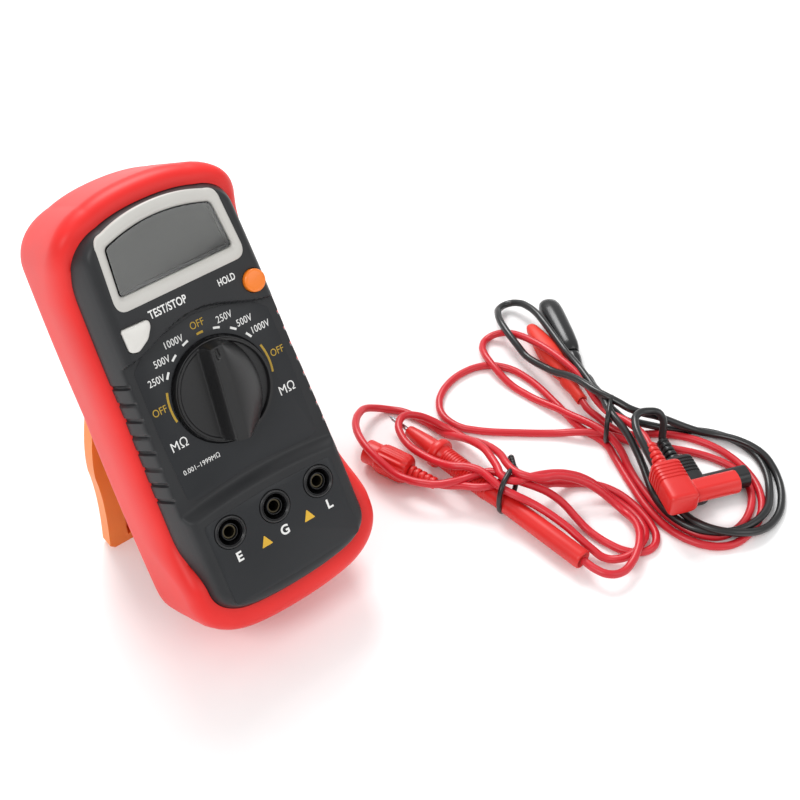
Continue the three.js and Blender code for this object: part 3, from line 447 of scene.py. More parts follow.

# %% [markdown]
# ## Cable finish
# Test cable is silicone rubber, extruded over fine copper strands: satin and very smooth.
# Its highlight is a soft line along the top, so the roughness is middling.
# A lofted mesh would do, but a curve with a round bevel stays smooth in its bends and keeps its
# centreline.

# %% Cables as curves
# Red silicone rubber, extruded: a deep, even crimson with a soft line of light along it.
red_silicone = moulded("red_silicone_extruded", "cc1d2b", "c01825", 0.34, 0.5, 0.01,
                       **{"Specular IOR Level": 0.55})
# Black silicone rubber, extruded: darker and a little glossier, so the line of light is clearer.
black_silicone = moulded("black_silicone_extruded", "1a1b1c", "151617", 0.3, 0.5, 0.01,
                         **{"Specular IOR Level": 0.6})
KNOT_SPACING = 6                           # a point of the curve for every six laid points


def cable(name, points, finish, body, stands_for=()):
    """A curve of one open spline along points in millimetres, round, with the cable's diameter."""
    curve = bpy.data.curves.new(name, "CURVE")
    curve.dimensions = "3D"
    curve.bevel_depth = CABLE / 2 * MM
    curve.bevel_resolution = 6
    curve.resolution_u = 6
    picks = np.linspace(0, len(points) - 1, int(len(points) / KNOT_SPACING)).round().astype(int)
    chosen = points[picks] * MM
    spline = curve.splines.new("BEZIER")
    spline.bezier_points.add(len(chosen) - 1)
    for knot, place in zip(spline.bezier_points, chosen):
        knot.co = place
        knot.handle_left_type = knot.handle_right_type = "AUTO"
    curve.materials.append(finish)
    piece = bpy.data.objects.new(name, curve)
    bpy.context.collection.objects.link(piece)
    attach(piece, body)
    if stands_for:
        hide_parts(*stands_for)
    return piece


probe_cable = cable("probe_cable", probe_lead, red_silicone, "probe_lead", ["probe_lead_hank"])
red_cable = cable("red_clip_cable", red_lead, red_silicone, "clip_leads", ["clip_leads_hank"])
black_cable = cable("black_clip_cable", black_lead, black_silicone, "clip_leads")

# %% [markdown]
# ## The tester's outline
# Case, holster and overlays all follow one outline: a slightly waisted shape with rounded ends.
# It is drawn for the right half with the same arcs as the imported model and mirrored.
# A curve object could hold it, but a function can also give it grown, shrunk or coarser.

# %% Outline of the case
CASE_TOP, CASE_BOTTOM = 119.0, -34.0
TOP_HALF, WAIST_HALF, BASE_HALF, WAIST_Y = 31.5, 33.3, 35.2, 50.0
TOP_CORNER, BASE_CORNER, TOP_CROWN, BASE_CROWN = 12.0, 14.0, 2.6, 1.6
SPLIT_Z = -20.0                            # where front and back case meet
END_FLAT, SIDE_BOW = 0.6, 0.3              # how far the ends stay flat, and how much the sides bow
CORNER_PULL, CORNER_EASE, CORNER_RISE = 0.55, 0.45, 0.1     # how square the corners are


def arc(points, steps):
    """A Bezier arc through its two, three or four control points, without its first point."""
    t = np.linspace(0, 1, steps + 1)[1:, None]
    degree = len(points) - 1
    return sum(math.comb(degree, k) * (1 - t) ** (degree - k) * t**k * np.array(p, float)
               for k, p in enumerate(points))


def case_outline(grow=0.0, grow_top=None, grow_base=None, fineness=1.0):
    """Closed outline of the case, counter-clockwise from the middle of its lower end, grown outwards."""
    up = grow if grow_top is None else grow_top
    down = grow if grow_base is None else grow_base
    top, base = CASE_TOP + up, CASE_BOTTOM - down
    top_half, waist, base_half = TOP_HALF + grow, WAIST_HALF + grow, BASE_HALF + grow
    top_r, base_r = max(TOP_CORNER + grow, 1), max(BASE_CORNER + grow, 1)
    shoulder, heel = top - TOP_CROWN - top_r, base + BASE_CROWN + base_r
    runs = [
        ([(0, base), ((base_half - base_r) * END_FLAT, base), (base_half - base_r, base + BASE_CROWN)], 42),
        ([(base_half - base_r, base + BASE_CROWN),
          (base_half - CORNER_EASE * base_r, base + BASE_CROWN + CORNER_RISE * base_r),
          (base_half, heel - CORNER_PULL * base_r), (base_half, heel)], 44),
        ([(base_half, heel), (base_half, (heel + WAIST_Y) / 2), (waist, WAIST_Y)], 140),
        ([(waist, WAIST_Y), (waist - SIDE_BOW, (shoulder + WAIST_Y) / 2), (top_half, shoulder)], 110),
        ([(top_half, shoulder), (top_half - SIDE_BOW, shoulder + CORNER_PULL * top_r),
          (top_half - CORNER_EASE * top_r, top - TOP_CROWN - CORNER_RISE * top_r),
          (top_half - top_r, top - TOP_CROWN)], 40),
        ([(top_half - top_r, top - TOP_CROWN), ((top_half - top_r) * END_FLAT, top), (0, top)], 40)]
    right = np.vstack([[(0, base)]] + [arc(points, max(int(steps * fineness), 4)) for points, steps in runs])
    left = right[-2:0:-1] * (-1, 1)
    return np.vstack([right, left])


def at_height(outline, z):
    """The outline as a ring at one height, or at one height for each point."""
    return np.column_stack([outline, np.broadcast_to(z, len(outline))])


print("outline points", len(case_outline()))

# %% [markdown]
# ## The window, the test button and the overlays
# The display window is a trapezium with an arched top. The test button is a rounded wedge.
# Every opening in the front case and the piece inside it share one outline, grown by the gap
# between them, so they can't drift apart.

# %% Outlines on the face
WINDOW_LOW, WINDOW_HIGH = 91.0, 111.5
WINDOW_LOW_HALF, WINDOW_HIGH_HALF = 22.0, 20.5
BEZEL_WIDTH, RAISED, GAP = 3.3, 3.5, 0.3
DIAL_Y, KNOB_RADIUS = 46.6, 18.4
HOLD_SPOT, HOLD_RADIUS = (24.4, 77.0), 4.1
JACK_PITCH = 19.0


def window_outline(grow, steps=10):
    """Closed outline of the display window, counter-clockwise, grown outwards."""
    r = 1.6 + max(grow, -1) * 0.8
    low, high = WINDOW_LOW - grow, WINDOW_HIGH + grow
    low_half, high_half = WINDOW_LOW_HALF + grow, WINDOW_HIGH_HALF + grow
    right = np.vstack([
        [(0, low)], arc([(0, low), (low_half - r, low)], steps),
        arc([(low_half - r, low), (low_half, low), (low_half - 0.1, low + r)], steps),
        arc([(low_half - 0.1, low + r), (high_half + 0.1, high - 4 - r)], steps),
        arc([(high_half + 0.1, high - 4 - r), (high_half, high - 3.6), (high_half - r, high - 3.2)], steps),
        arc([(high_half - r, high - 3.2), (high_half * 0.45, high), (0, high)], 2 * steps)])
    return np.vstack([right, right[-2:0:-1] * (-1, 1)])


def rounded(corners, radius, steps=8):
    """Closed outline through corners, each rounded off by radius."""
    corners = np.asarray(corners, float)
    outline = []
    for before, corner, after in zip(np.roll(corners, 1, 0), corners, np.roll(corners, -1, 0)):
        start = corner + (before - corner) / np.linalg.norm(before - corner) * radius
        end = corner + (after - corner) / np.linalg.norm(after - corner) * radius
        outline.append(np.vstack([[start], arc([start, corner, end], steps)]))
    return np.vstack(outline)


def grown(outline, distance):
    """A counter-clockwise outline moved outwards."""
    ahead_way = np.roll(outline, -1, 0) - np.roll(outline, 1, 0)
    normal = np.column_stack([ahead_way[:, 1], -ahead_way[:, 0]])
    return outline + normal / np.maximum(np.linalg.norm(normal, axis=1), 1e-9)[:, None] * distance


def circle(centre, radius, sides=64):
    """A round outline."""
    turns = np.linspace(0, 2 * np.pi, sides, endpoint=False)
    return np.column_stack([centre[0] + radius * np.cos(turns), centre[1] + radius * np.sin(turns)])


TEST_CORNERS = [(-26.7, 73.2), (-24.0, 72.3), (-19.2, 75.0), (-16.6, 78.8), (-16.6, 81.0), (-26.7, 81.3)]
test_outline = rounded(TEST_CORNERS, 1.1)
print("window", WINDOW_LOW_HALF * 2, "x", WINDOW_HIGH - WINDOW_LOW)

# %% [markdown]
# ## Case plastic
# The case is charcoal ABS moulded against a spark-eroded tool: a fine matt grain that
# scatters the lamps into broad, soft highlights along the steps and the ramp.
# Its front is one height field inside the outline, rolled over at the edge: the raised display and
# socket zones, the sunk dial and the grip slots are steps in a formula, each as soft as it needs.
# The holes are then cut out with solids, because a hole needs a wall.

# %% Front case, its holes and the grip slots
# Charcoal ABS, injection moulded in an eroded tool: dark, matt and grainy, with no sharp highlight.
# The real grain is about 0.15 mm; it is drawn at 0.35 mm so that it shows at all.
case_abs = moulded("abs_moulded_eroded_charcoal", "252628", "1f2022", 0.44, 0.35, 0.03,
                   **{"Specular IOR Level": 0.35})


def step(value, start, end):
    """0 below start, 1 above end and a smooth step between them."""
    t = np.clip((value - start) / (end - start), 0, 1)
    return t * t * (3 - 2 * t)


ARCH_LOW, ARCH_RISE, ARCH_HALF = 68.3, 7.7, 32       # the arched lower edge of the display zone
RAMP_TOP, RAMP_FOOT = 10.3, 15.4           # the ramp between the dial and the sockets, at its middle
RAMP_TOP_BOW, RAMP_FOOT_BOW, RAMP_HALF = 1.7, 2.0, 27       # how it bows down towards the sides
WELL_RADIUS, WELL_OUTER, WELL_DEPTH = 18.9, 19.3, 1.0       # the sunk dial under the knob


def face_height(x, y):
    """Height of the front above the dial panel: raised display and socket zones, a sunk dial."""
    arch = ARCH_LOW + ARCH_RISE * (0.5 + 0.5 * np.cos(np.pi * np.clip(x / ARCH_HALF, -1, 1)))
    side = (x / RAMP_HALF) ** 2
    ramp = step(-y, -RAMP_FOOT + RAMP_FOOT_BOW * side, -RAMP_TOP + RAMP_TOP_BOW * side)
    raised = np.maximum(step(y, arch - 0.2, arch + 1.0), ramp)
    from_knob = np.hypot(x, y - DIAL_Y)
    return RAISED * raised - WELL_DEPTH * (1 - step(from_knob, WELL_RADIUS, WELL_OUTER))


EDGE_INSETS = [0, 0.5, 1, 2, 3, 4, 5, 6]   # the rounded edge: how far in, and how high
EDGE_HEIGHTS = [-9, -6.6, -4.8, -1.6, 0.9, 2.6, 3.4, 3.5]
EDGE_BLEND = 0.45                          # how softly the edge runs into the face
SPINE_ENDS, SPINE_STEPS = 16, 46           # the spine stops this far from the ends of the case
SLOT_FIRST, SLOT_PITCH, SLOT_COUNT = 18.7, 6.15, 8          # grip slots up each side
SLOT_DEPTH, SLOT_FLOOR, SLOT_WALL, SLOT_REACH = 1.5, 0.45, 0.85, 3.5


def case_front():
    """Rings from the split line up the wall, over the rounded edge and in to the spine of the face."""
    outline = case_outline()
    rings = [at_height(outline, SPLIT_Z), at_height(outline, -16), at_height(outline, -12)]
    insets = [0, .2, .4, .6, .9, 1.2, 1.5, 1.9, 2.3, 2.7, 3, 3.4, 3.8, 4.3, 5, 6, 7, 8]
    for inset in insets:
        spot = grown(outline, -inset)
        edge = np.interp(inset, EDGE_INSETS, EDGE_HEIGHTS)
        face = face_height(*spot.T)
        lower = -EDGE_BLEND * np.log(np.exp(-edge / EDGE_BLEND) + np.exp(-face / EDGE_BLEND))
        rings.append(at_height(spot, lower if inset < EDGE_INSETS[-1] else face))
    rim = rings[-1][:, :2]
    along_spine = np.clip(rim[:, 1], CASE_BOTTOM + SPINE_ENDS, CASE_TOP - SPINE_ENDS)
    spine = np.column_stack([np.zeros(len(rim)), along_spine])
    for t in np.linspace(0, 1, SPINE_STEPS)[1:]:
        spot = rim * (1 - t) + spine * t
        rings.append(at_height(spot, face_height(*spot.T)))
    slots = [SLOT_FIRST + SLOT_PITCH * k for k in range(SLOT_COUNT)]
    for inset, ring in zip(insets, rings[3:]):
        near = sum(1 - step(np.abs(ring[:, 1] - y), SLOT_FLOOR, SLOT_WALL) for y in slots)
        deep = SLOT_DEPTH * near * step(SLOT_REACH - inset, 0, 1.6)
        ring[:, 2] -= deep * 0.85
        ring[:, 0] -= np.sign(ring[:, 0]) * deep * 0.5
    return rings


def cutter(*levels):
    """A closed solid over outlines at heights, to be taken away from another."""
    points, faces = skin([at_height(outline, z) for outline, z in levels])
    mesh = bpy.data.meshes.new("cutter")
    mesh.from_pydata([tuple(p) for p in from_face(points)], [], faces)
    tool = bpy.data.objects.new("cutter", mesh)
    bpy.context.collection.objects.link(tool)
    return tool


def take_away(piece, tools):
    """Cuts the tools out of the piece and removes them."""
    for tool in tools:
        change = piece.modifiers.new("cut", "BOOLEAN")
        change.operation = "DIFFERENCE"
        change.solver = "MANIFOLD"
        change.object = tool
    result = bpy.data.meshes.new_from_object(piece.evaluated_get(bpy.context.evaluated_depsgraph_get()))
    piece.modifiers.clear()
    old = piece.data
    piece.data = result
    bpy.data.meshes.remove(old)
    for tool in tools:
        bpy.data.objects.remove(tool)
    result.shade_smooth()
    result.set_sharp_from_angle(angle=math.radians(38))
    return result


points, faces = skin(case_front())
faces.pop()                                # the last ring closes on itself along the spine
front_case = body_mesh("front_case_shell", from_face(points), faces, case_abs, "tester", ["front_case"])
shape = bmesh.new()
shape.from_mesh(front_case.data)
bmesh.ops.remove_doubles(shape, verts=shape.verts, dist=0.01 * MM)
bmesh.ops.dissolve_degenerate(shape, edges=shape.edges, dist=0.001 * MM)
shape.to_mesh(front_case.data)
shape.free()
INSIDE, INSIDE_TOP = case_outline(-2, fineness=0.3), case_outline(-4, fineness=0.3)
ROUND_HOLE, ABOVE = 6.3, 6                 # radius of the knob's and sockets' holes, and a height over all
hollow = cutter((INSIDE, SPLIT_Z - 1), (INSIDE, -8), (INSIDE_TOP, -2.2))
openings = [(window_outline(BEZEL_WIDTH - 0.2), 1.5, ABOVE), (window_outline(1.8), -6, 0.3),
            (window_outline(-1.2), -6, ABOVE), (circle(HOLD_SPOT, HOLD_RADIUS + GAP), -4, ABOVE),
            (grown(test_outline, GAP), -4, ABOVE), (circle((0, DIAL_Y), ROUND_HOLE), -6, ABOVE)]
openings += [(circle((k * JACK_PITCH, 0), ROUND_HOLE), -6, ABOVE) for k in (-1, 0, 1)]
shell = take_away(front_case, [hollow] + [cutter((edge, low), (edge, high)) for edge, low, high in openings])
print("front case", len(shell.vertices), "points")

# %% [markdown]
# ## Rubber holster
# A soft thermoplastic-rubber boot wraps the case. It is red, satin and a little dusty-looking,
# with broad pale highlights. Its lip rolls over the front edge and dips along both sides.
# It is a skin of rings, out over the back edge, up the wall, round the lip and down inside again,
# and all of them are the case's outline grown by some amount, so the boot fits the case everywhere.
# Subdividing a simple shell would be quicker, but the lip's dip would be hard to steer.

# %% Holster
# Red thermoplastic rubber, moulded in a polished tool: a soft satin skin with weak, broad highlights.
# Its real texture is too fine to show, so it is drawn at 0.8 mm and very shallow.
holster_rubber = moulded("tpe_moulded_red", "e32723", "db211e", 0.44, 0.8, 0.02,
                         **{"Specular IOR Level": 0.35})
SIDE_GROW, TOP_GROW, BASE_GROW = 5.1, 6.0, 8.3
BACK_Z = -46.0
LIP_Z, LIP_TOP = -9.0, -1.4                # where the lip starts to roll, and its highest point
LIP_DIP = 9.0
LIP_SLOPE = 2.0                            # on the sides the lip falls away outwards
LIP_TUCK = 2.1                             # how far it reaches in over the case at the two ends


def dip_at(y):
    """How far the holster's lip drops below its height at the two ends."""
    return LIP_DIP * np.minimum(step(y, -18, 3), 1 - step(y, 93, 117))


def holster_ring(side, top, base, z, slope=LIP_SLOPE):
    """A ring of the holster: the front follows the dip, and the back keeps its height."""
    outline = case_outline(side, top, base, fineness=0.6)
    return at_height(outline, z - dip_at(outline[:, 1]) * slope * step(z, -40, LIP_Z))


def lip_ring(tuck, z):
    """A ring on the inner side of the lip. At the two ends the lip tucks in over the case's edge."""
    outline = case_outline(GAP, fineness=0.6)
    dip = dip_at(outline[:, 1])
    return at_height(grown(outline, (-tuck * (1 - dip / LIP_DIP))[:, None]), z - dip)


def case_ring(grow, z):
    """A ring on the holster's inside, where it lies along the back case."""
    return at_height(case_outline(grow, fineness=0.6), z)


# The rounded back edge: how far in at the sides and top, how far in at the heel, and how high.
BACK_EDGE = [(8, 8, 0), (5.6, 5.4, 0.25), (4, 3.5, 1.2), (2.2, 1.4, 2.7), (1.2, 0.2, 4), (0.4, -0.9, 6),
             (0, -1.4, 8)]
WALL_HEIGHTS = (-34, -30, -27, -24, -21, -18.6, -18.2, -16, -14, -11.5)
HEEL, HEEL_TAPER = 1.4, 0.1                # the heel stands out lowest down and tapers towards the lip
rings = [holster_ring(SIDE_GROW - inset, TOP_GROW - inset, BASE_GROW - heel, BACK_Z + rise)
         for inset, heel, rise in BACK_EDGE]
rings += [holster_ring(SIDE_GROW, TOP_GROW, BASE_GROW + HEEL - HEEL_TAPER * k, z)
          for k, z in enumerate(WALL_HEIGHTS)]
for turn in np.radians(np.linspace(0, 90, 13)):
    out, rise = math.cos(turn) ** 0.9, math.sin(turn)
    inner = GAP - LIP_TUCK * (1 - math.cos(turn)) * 0.4
    heel = inner + (BASE_GROW - 0.2 - inner) * math.cos(turn) ** 0.7
    rings.append(holster_ring(inner + (SIDE_GROW - inner) * out, inner + (TOP_GROW - inner) * out, heel,
                              LIP_Z + (LIP_TOP - LIP_Z) * rise, LIP_SLOPE + (1 - LIP_SLOPE) * rise))
rings += [lip_ring(LIP_TUCK * tuck, z) for tuck, z in ((1, -1.6), (1, -2.2), (0.5, -5), (0, -8), (0, -14))]
rings += [case_ring(GAP, -37.5), case_ring(-1.6, -41.3)]
points, faces = skin(rings)
HINGE_Y, HINGE_Z = 45.0, -50.6
LUG_X, LUG_WIDTH, LUG_RADIUS, LUG_EDGE = 27.0, 7.0, 3.9, 0.5
for side in (-1, 1):
    rows = []
    for x in (-LUG_WIDTH / 2, -LUG_WIDTH / 2 + LUG_EDGE, LUG_WIDTH / 2 - LUG_EDGE, LUG_WIDTH / 2):
        radius = LUG_RADIUS - (LUG_EDGE if abs(x) == LUG_WIDTH / 2 else 0)
        bend = np.radians(np.linspace(180, 360, 25))
        nose = [(HINGE_Y + radius * math.cos(a), HINGE_Z + radius * math.sin(a)) for a in bend]
        profile = [(HINGE_Y - radius - 1.2, BACK_Z + 1), *nose, (HINGE_Y + radius + 1.2, BACK_Z + 1)]
        rows.append([(side * LUG_X + x, y, z) for y, z in profile])
    lug_points, lug_faces = skin(rows)
    faces += [tuple(i + len(points) for i in face) for face in lug_faces]
    points = list(points) + list(lug_points)
body_mesh("holster_boot", from_face(points), faces, holster_rubber, "tester", ["holster"],
          50)
print("holster points", len(points))

# %% [markdown]
# ## Display
# The bezel is a light warm grey frame with rolled edges, the lens a clear acrylic sheet,
# and behind it lies the unpowered liquid crystal panel: plain, dark and greenish.
# The lens and the panel are flat plates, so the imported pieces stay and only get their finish.
# The frame is a section swept round the window's outline, which gives its edges their roll.

# %% Bezel, lens and panel
# Warm grey ABS, injection moulded in a smooth tool: pale and even, with a soft edge highlight.
bezel_plastic = moulded("bezel_abs_warm_grey", "c6c4bf", "bfbdb8", 0.38, 0.5, 0.012)
BEZEL_LOW, BEZEL_HIGH = 85.9, 116.4        # the frame is wider above and below than at its sides


def bezel_outline(grow):
    """The frame's outline: the window's, stretched up and down as it grows to its full width."""
    outline = window_outline(grow)
    middle = (WINDOW_LOW + WINDOW_HIGH) / 2
    stretch = (BEZEL_HIGH - BEZEL_LOW) / (WINDOW_HIGH - WINDOW_LOW + 2 * BEZEL_WIDTH)
    share = max(grow, 0) / BEZEL_WIDTH
    outline[:, 1] = middle + (outline[:, 1] - middle) * (1 + (stretch - 1) * share)
    outline[:, 1] += ((BEZEL_LOW + BEZEL_HIGH) / 2 - middle) * share
    return outline


# The frame's section, from its outer wall over the top to the window: how far out, and how high.
BEZEL_PROFILE = [(3.3, 1.8), (3.3, 3.3), (3.12, 3.6), (2.8, 3.8), (2.3, 3.9), (1.5, 3.9), (1.0, 3.75),
                 (0.55, 3.35), (0.2, 2.8), (0.05, 2.3), (0.02, 1.8)]
rings = [at_height(bezel_outline(grow), z) for grow, z in BEZEL_PROFILE]
points, faces = skin(rings + rings[:1], ends=False)
body_mesh("bezel_frame", from_face(points), faces, bezel_plastic, "tester", ["display_bezel"],
          50)
SMEAR_WIDTH = 16.7                         # breadth of the faint smears on a handled window


def glassy(name, colour, roughness, ior):
    """A clear sheet: light passes through it and its surface mirrors the room a little."""
    material = bpy.data.materials.new(name)
    material.use_nodes = True
    tree = material.node_tree
    tree.nodes.clear()
    place = add(tree, "TexCoord").outputs["Object"]
    smear = add(tree, "TexNoise", {"Scale": 1 / (SMEAR_WIDTH * MM), "Detail": 3.0}, {"Vector": place})
    gloss = add(tree, "MapRange", {"To Min": roughness, "To Max": roughness * 2.5},
                {"Value": smear.outputs["Fac"]})
    surface = add(tree, "BsdfPrincipled", {
        "Base Color": linear(colour), "Transmission Weight": 1.0, "IOR": ior, "Specular IOR Level": 0.2},
                  {"Roughness": gloss.outputs["Result"]})
    add(tree, "OutputMaterial", None, {"Surface": surface.outputs["BSDF"]})
    return material


# Acrylic sheet, cast and clear: hardly seen but for a faint reflection.
lens_acrylic = glassy("acrylic_cast_clear", "f2f4f0", 0.03, 1.49)
# Polariser film, laminated on the liquid crystal glass: a dead, dark green with next to no gloss.
lcd_glass = moulded("polariser_laminated_green", "121611", "0f130e", 0.35, 0.6, 0.002,
                    **{"Specular IOR Level": 0.1})


def repaint(name, finish):
    """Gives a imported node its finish."""
    slots = frame["nodes"][name].data.materials
    slots.clear()
    slots.append(finish)


repaint("display_lens", lens_acrylic)
repaint("lcd_panel", lcd_glass)
print("bezel", BEZEL_HIGH - BEZEL_LOW, "mm from its lower to its upper edge")

# %% [markdown]
# ## Range knob
# The knob is one moulding: a disc with a raised bar across it. The bar is straight and steep on
# its left side and runs down to the right in a curved flank. A small recess marks the pointer's end.
# It could be cut and bevelled, but it is modelled as a height over the disc, fine enough for crisp
# but rounded edges, because the flank is a curve that a bevel can't follow.

# %% Knob
# Black ABS, injection moulded with a fine matt grain: satin, with a clear light along the bar's edge.
# The grain is drawn at 0.35 mm, about twice its real size.
knob_plastic = moulded("abs_moulded_black", "1b1b1c", "161617", 0.34, 0.35, 0.02,
                       **{"Specular IOR Level": 0.45})
KNOB_TOP, KNOB_FLOOR, KNOB_RIM = 10.4, 2.7, 3.1            # heights of the bar, the disc and its rim
RIM_IN, RIM_OUT = (16.4, 17.0), (17.9, 18.4)               # where the rim rises and where it falls
BAR_LEFT, BAR_LEAN, BAR_WIDTH, BAR_END = -6.1, 0.114, 4.0, 17.1
FLANK_REACH, FLANK_LENGTH = 13.3, 18.3     # the flank ends on this ellipse
MARK_Y, MARK_IN, MARK_DEPTH = 14.6, 1.7, 0.7               # the recess at the pointer's end


def knob_height(x, y):
    """Height of the knob above the dial panel, for x and y from its middle."""
    r = np.hypot(x, y)
    left_top = BAR_LEFT + BAR_LEAN * (y + BAR_END)
    right_top = left_top + BAR_WIDTH
    flank_end = FLANK_REACH * np.sqrt(np.clip(1 - (y / FLANK_LENGTH) ** 2, 0.0, 1)) - 0.2
    flank_end = np.maximum(flank_end, right_top + 0.5)
    fall = np.clip((x - right_top) / (flank_end - right_top), 0, 1)
    bar = KNOB_FLOOR + 0.4 + (KNOB_TOP - KNOB_FLOOR - 0.4) * (1 - fall**1.5)
    bar = KNOB_FLOOR + (bar - KNOB_FLOOR) * step(x, left_top - 2.3, left_top + 0.25)
    floor = np.where(x > flank_end, KNOB_FLOOR - 1.1 * step(x, flank_end, flank_end + 0.5), KNOB_FLOOR)
    z = np.where(x < flank_end, bar, floor)
    z = floor + (z - floor) * (1 - step(r, BAR_END, RIM_OUT[0]))
    outside = 1 - step(r, *RIM_OUT)
    z = np.maximum(z * outside, KNOB_RIM * step(r, *RIM_IN) * outside)
    mark = np.hypot((x - (left_top + MARK_IN)) / 0.75, (y - MARK_Y) / 2.2)
    return z - MARK_DEPTH * (1 - step(mark, 0.75, 1.1)) * step(y, 11, 11.5)


KNOB_SIDES = 300
KNOB_EDGE = 2.4                            # height where the knob's wall turns over into its rim
wall = [(18.3, GAP - 1.0), (KNOB_RADIUS, 1.6), (18.37, KNOB_EDGE)]
rings = [at_height(circle((0, 0), r, KNOB_SIDES), z) for r, z in wall]
for r in np.concatenate([[18.25, 18.05, 17.85, 17.6, 17.4, 17.1], np.linspace(16.9, 0.02, 76)]):
    spot = circle((0, 0), r, KNOB_SIDES)
    rings.append(at_height(spot, np.maximum(knob_height(*spot.T), KNOB_EDGE if r > 18.2 else 0)))
points, faces = skin([ring + (0, DIAL_Y, 0) for ring in rings])
body_mesh("range_knob_bar", from_face(points), faces, knob_plastic, "knob", ["range_knob"],
          40)
print("knob points", len(points))

# %% [markdown]
# ## Buttons
# The hold button is a glossy orange cap, the test button a white key with a soft crown.
# Both are one outline, drawn smaller and smaller towards the top, which rounds a wedge as well as
# a disc. A bevel would do for the round cap only.

# %% Hold and test buttons
# ABS, injection moulded in a polished tool: glossy and evenly coloured. The thin coat is the sheen
# of a polished moulding, and the faint texture is drawn at 0.6 mm, as a real one would not show.
orange_cap = moulded("abs_polished_orange", "f07d1e", "e8741a", 0.3, 0.6, 0.008, **{"Coat Weight": 0.15})
# The same in warm white for the test key.
white_key = moulded("abs_polished_white", "d8d6d1", "d2d0cb", 0.3, 0.6, 0.006, **{"Coat Weight": 0.15})
# The crown of a button: share of its full outline, and height above the dial panel.
crown = [(1.0, 0.0), (1.0, 4.3), (0.985, 4.65), (0.94, 4.95), (0.85, 5.15), (0.6, 5.27), (0.2, 5.3)]
rings = [at_height((circle((0, 0), HOLD_RADIUS) * size) + HOLD_SPOT, z) for size, z in crown]
points, faces = skin(rings)
body_mesh("hold_cap", from_face(points), faces, orange_cap, "hold", ["hold_button"], 50)
middle = test_outline.mean(axis=0)
rings = [at_height((test_outline - middle) * size + middle, z) for size, z in crown]
points, faces = skin(rings)
body_mesh("test_key", from_face(points), faces, white_key, "test", ["test_button"], 50)
print("buttons", crown[-1][1], "mm above the dial panel")

# %% [markdown]
# ## Sockets
# Each socket is a shrouded 4 mm type: a ring that stands proud, a deep black well, and a sleeve
# in the middle with the sprung brass contact inside it.
# It is round all over, so it is turned: one section goes round the axis and closes on itself.

# %% Sockets
# Black polyamide, injection moulded: satin and near black, so that the well reads as a dark hole.
socket_plastic = moulded("polyamide_moulded_black", "18181a", "131315", 0.36, 0.5, 0.01)
# Brass, turned and dulled by use: a brownish metal glint deep in the well.
brass = moulded("brass_turned_dull", "57503f", "484236", 0.45, 0.4, 0.006, Metallic=1.0)
# The section, from the sleeve's foot over its top, down the well, and over the outer ring.
SOCKET_PROFILE = [(3.12, -9.5), (3.12, 3.0), (3.0, 3.2), (2.8, 3.25), (2.8, -11.0), (4.3, -11.0),
                  (5.2, -11.0), (5.2, 2.4), (6.0, 2.4), (6.0, 3.7), (5.9, 3.95), (5.65, 4.1), (5.3, 4.12),
                  (5.15, 4.0), (5.05, 3.86), (4.95, 4.0), (4.85, 4.05), (4.7, 3.9), (4.7, -9.5)]
for k, name in ((-1, "e"), (0, "g"), (1, "l")):
    rings = [np.array(ring) + (k * JACK_PITCH, 0, 0) for ring in turned(SOCKET_PROFILE, 64)]
    points, faces = skin(rings + rings[:1], ends=False)
    body_mesh(f"socket_ring_{name}", from_face(points), faces, socket_plastic, "tester",
              [f"jack_housing_{name}"], 40)
    repaint(f"jack_socket_{name}", brass)
print("three sockets,", JACK_PITCH, "mm apart")

# %% [markdown]
# ## Overlays
# The dial and the sockets each have a thin printed film in a shallow recess of the case.
# The film is a shade cooler and smoother than the case. A picture laid on the case could show it,
# but as a thin plate of its own it has a real edge that catches light.

# %% Dial and socket overlays
# Polycarbonate film, printed and velvet-textured: smoother than the case and slightly bluish.
# The velvet is far finer than 0.25 mm, at which it is drawn.
film = moulded("polycarbonate_film_velvet", "1f2124", "1b1d20", 0.42, 0.25, 0.012,
               **{"Specular IOR Level": 0.35})
FILM = 0.14                                # how far a film stands above the panel
DIAL_CORNERS = [(-27.4, 16.6), (-24, 14.9), (0, 16.9), (24, 14.9), (27.4, 16.6), (27.8, 40), (27.2, 65.5),
                (22, 70.0), (12, 73.2), (0, 75.0), (-12, 73.2), (-17, 71.9), (-22, 70.0), (-27.2, 65.5),
                (-27.8, 40)]
SOCKET_CORNERS = [(-27.4, -25.9), (0, -26.6), (27.4, -25.9), (27.4, 6.3), (0, 7.6), (-27.4, 6.3)]


def film_plate(name, outline, base):
    """A film with a finely broken edge."""
    levels = [(0, base - 0.4), (0, base + FILM - 0.06), (-0.12, base + FILM)]
    points, faces = skin([at_height(grown(outline, grow), z) for grow, z in levels])
    return body_mesh(name, from_face(points), faces, film, "tester")


def take_disc(piece, centre, radius, low, high):
    """Cuts a round hole in a film."""
    take_away(piece, [cutter((circle(centre, radius), low), (circle(centre, radius), high))])


dial_film = film_plate("dial_film", rounded(DIAL_CORNERS, 1.3, 5), 0.0)
take_disc(dial_film, (0, DIAL_Y), WELL_OUTER, -2, 2)
socket_film = film_plate("socket_film", rounded(SOCKET_CORNERS, 2.2, 6), RAISED)
for k in (-1, 0, 1):
    take_disc(socket_film, (k * JACK_PITCH, 0), 6.25, 2, 5)
print("films", FILM, "mm proud")

# %% [markdown]
# ## Printing
# Ranges, ticks and letters are screen printed: a thin, matt, slightly raised ink.
# The letters are outlines of Blender's own font, thickened and turned into meshes. An image texture
# would be lighter, but it would blur close up, and outlines stay sharp from any distance.

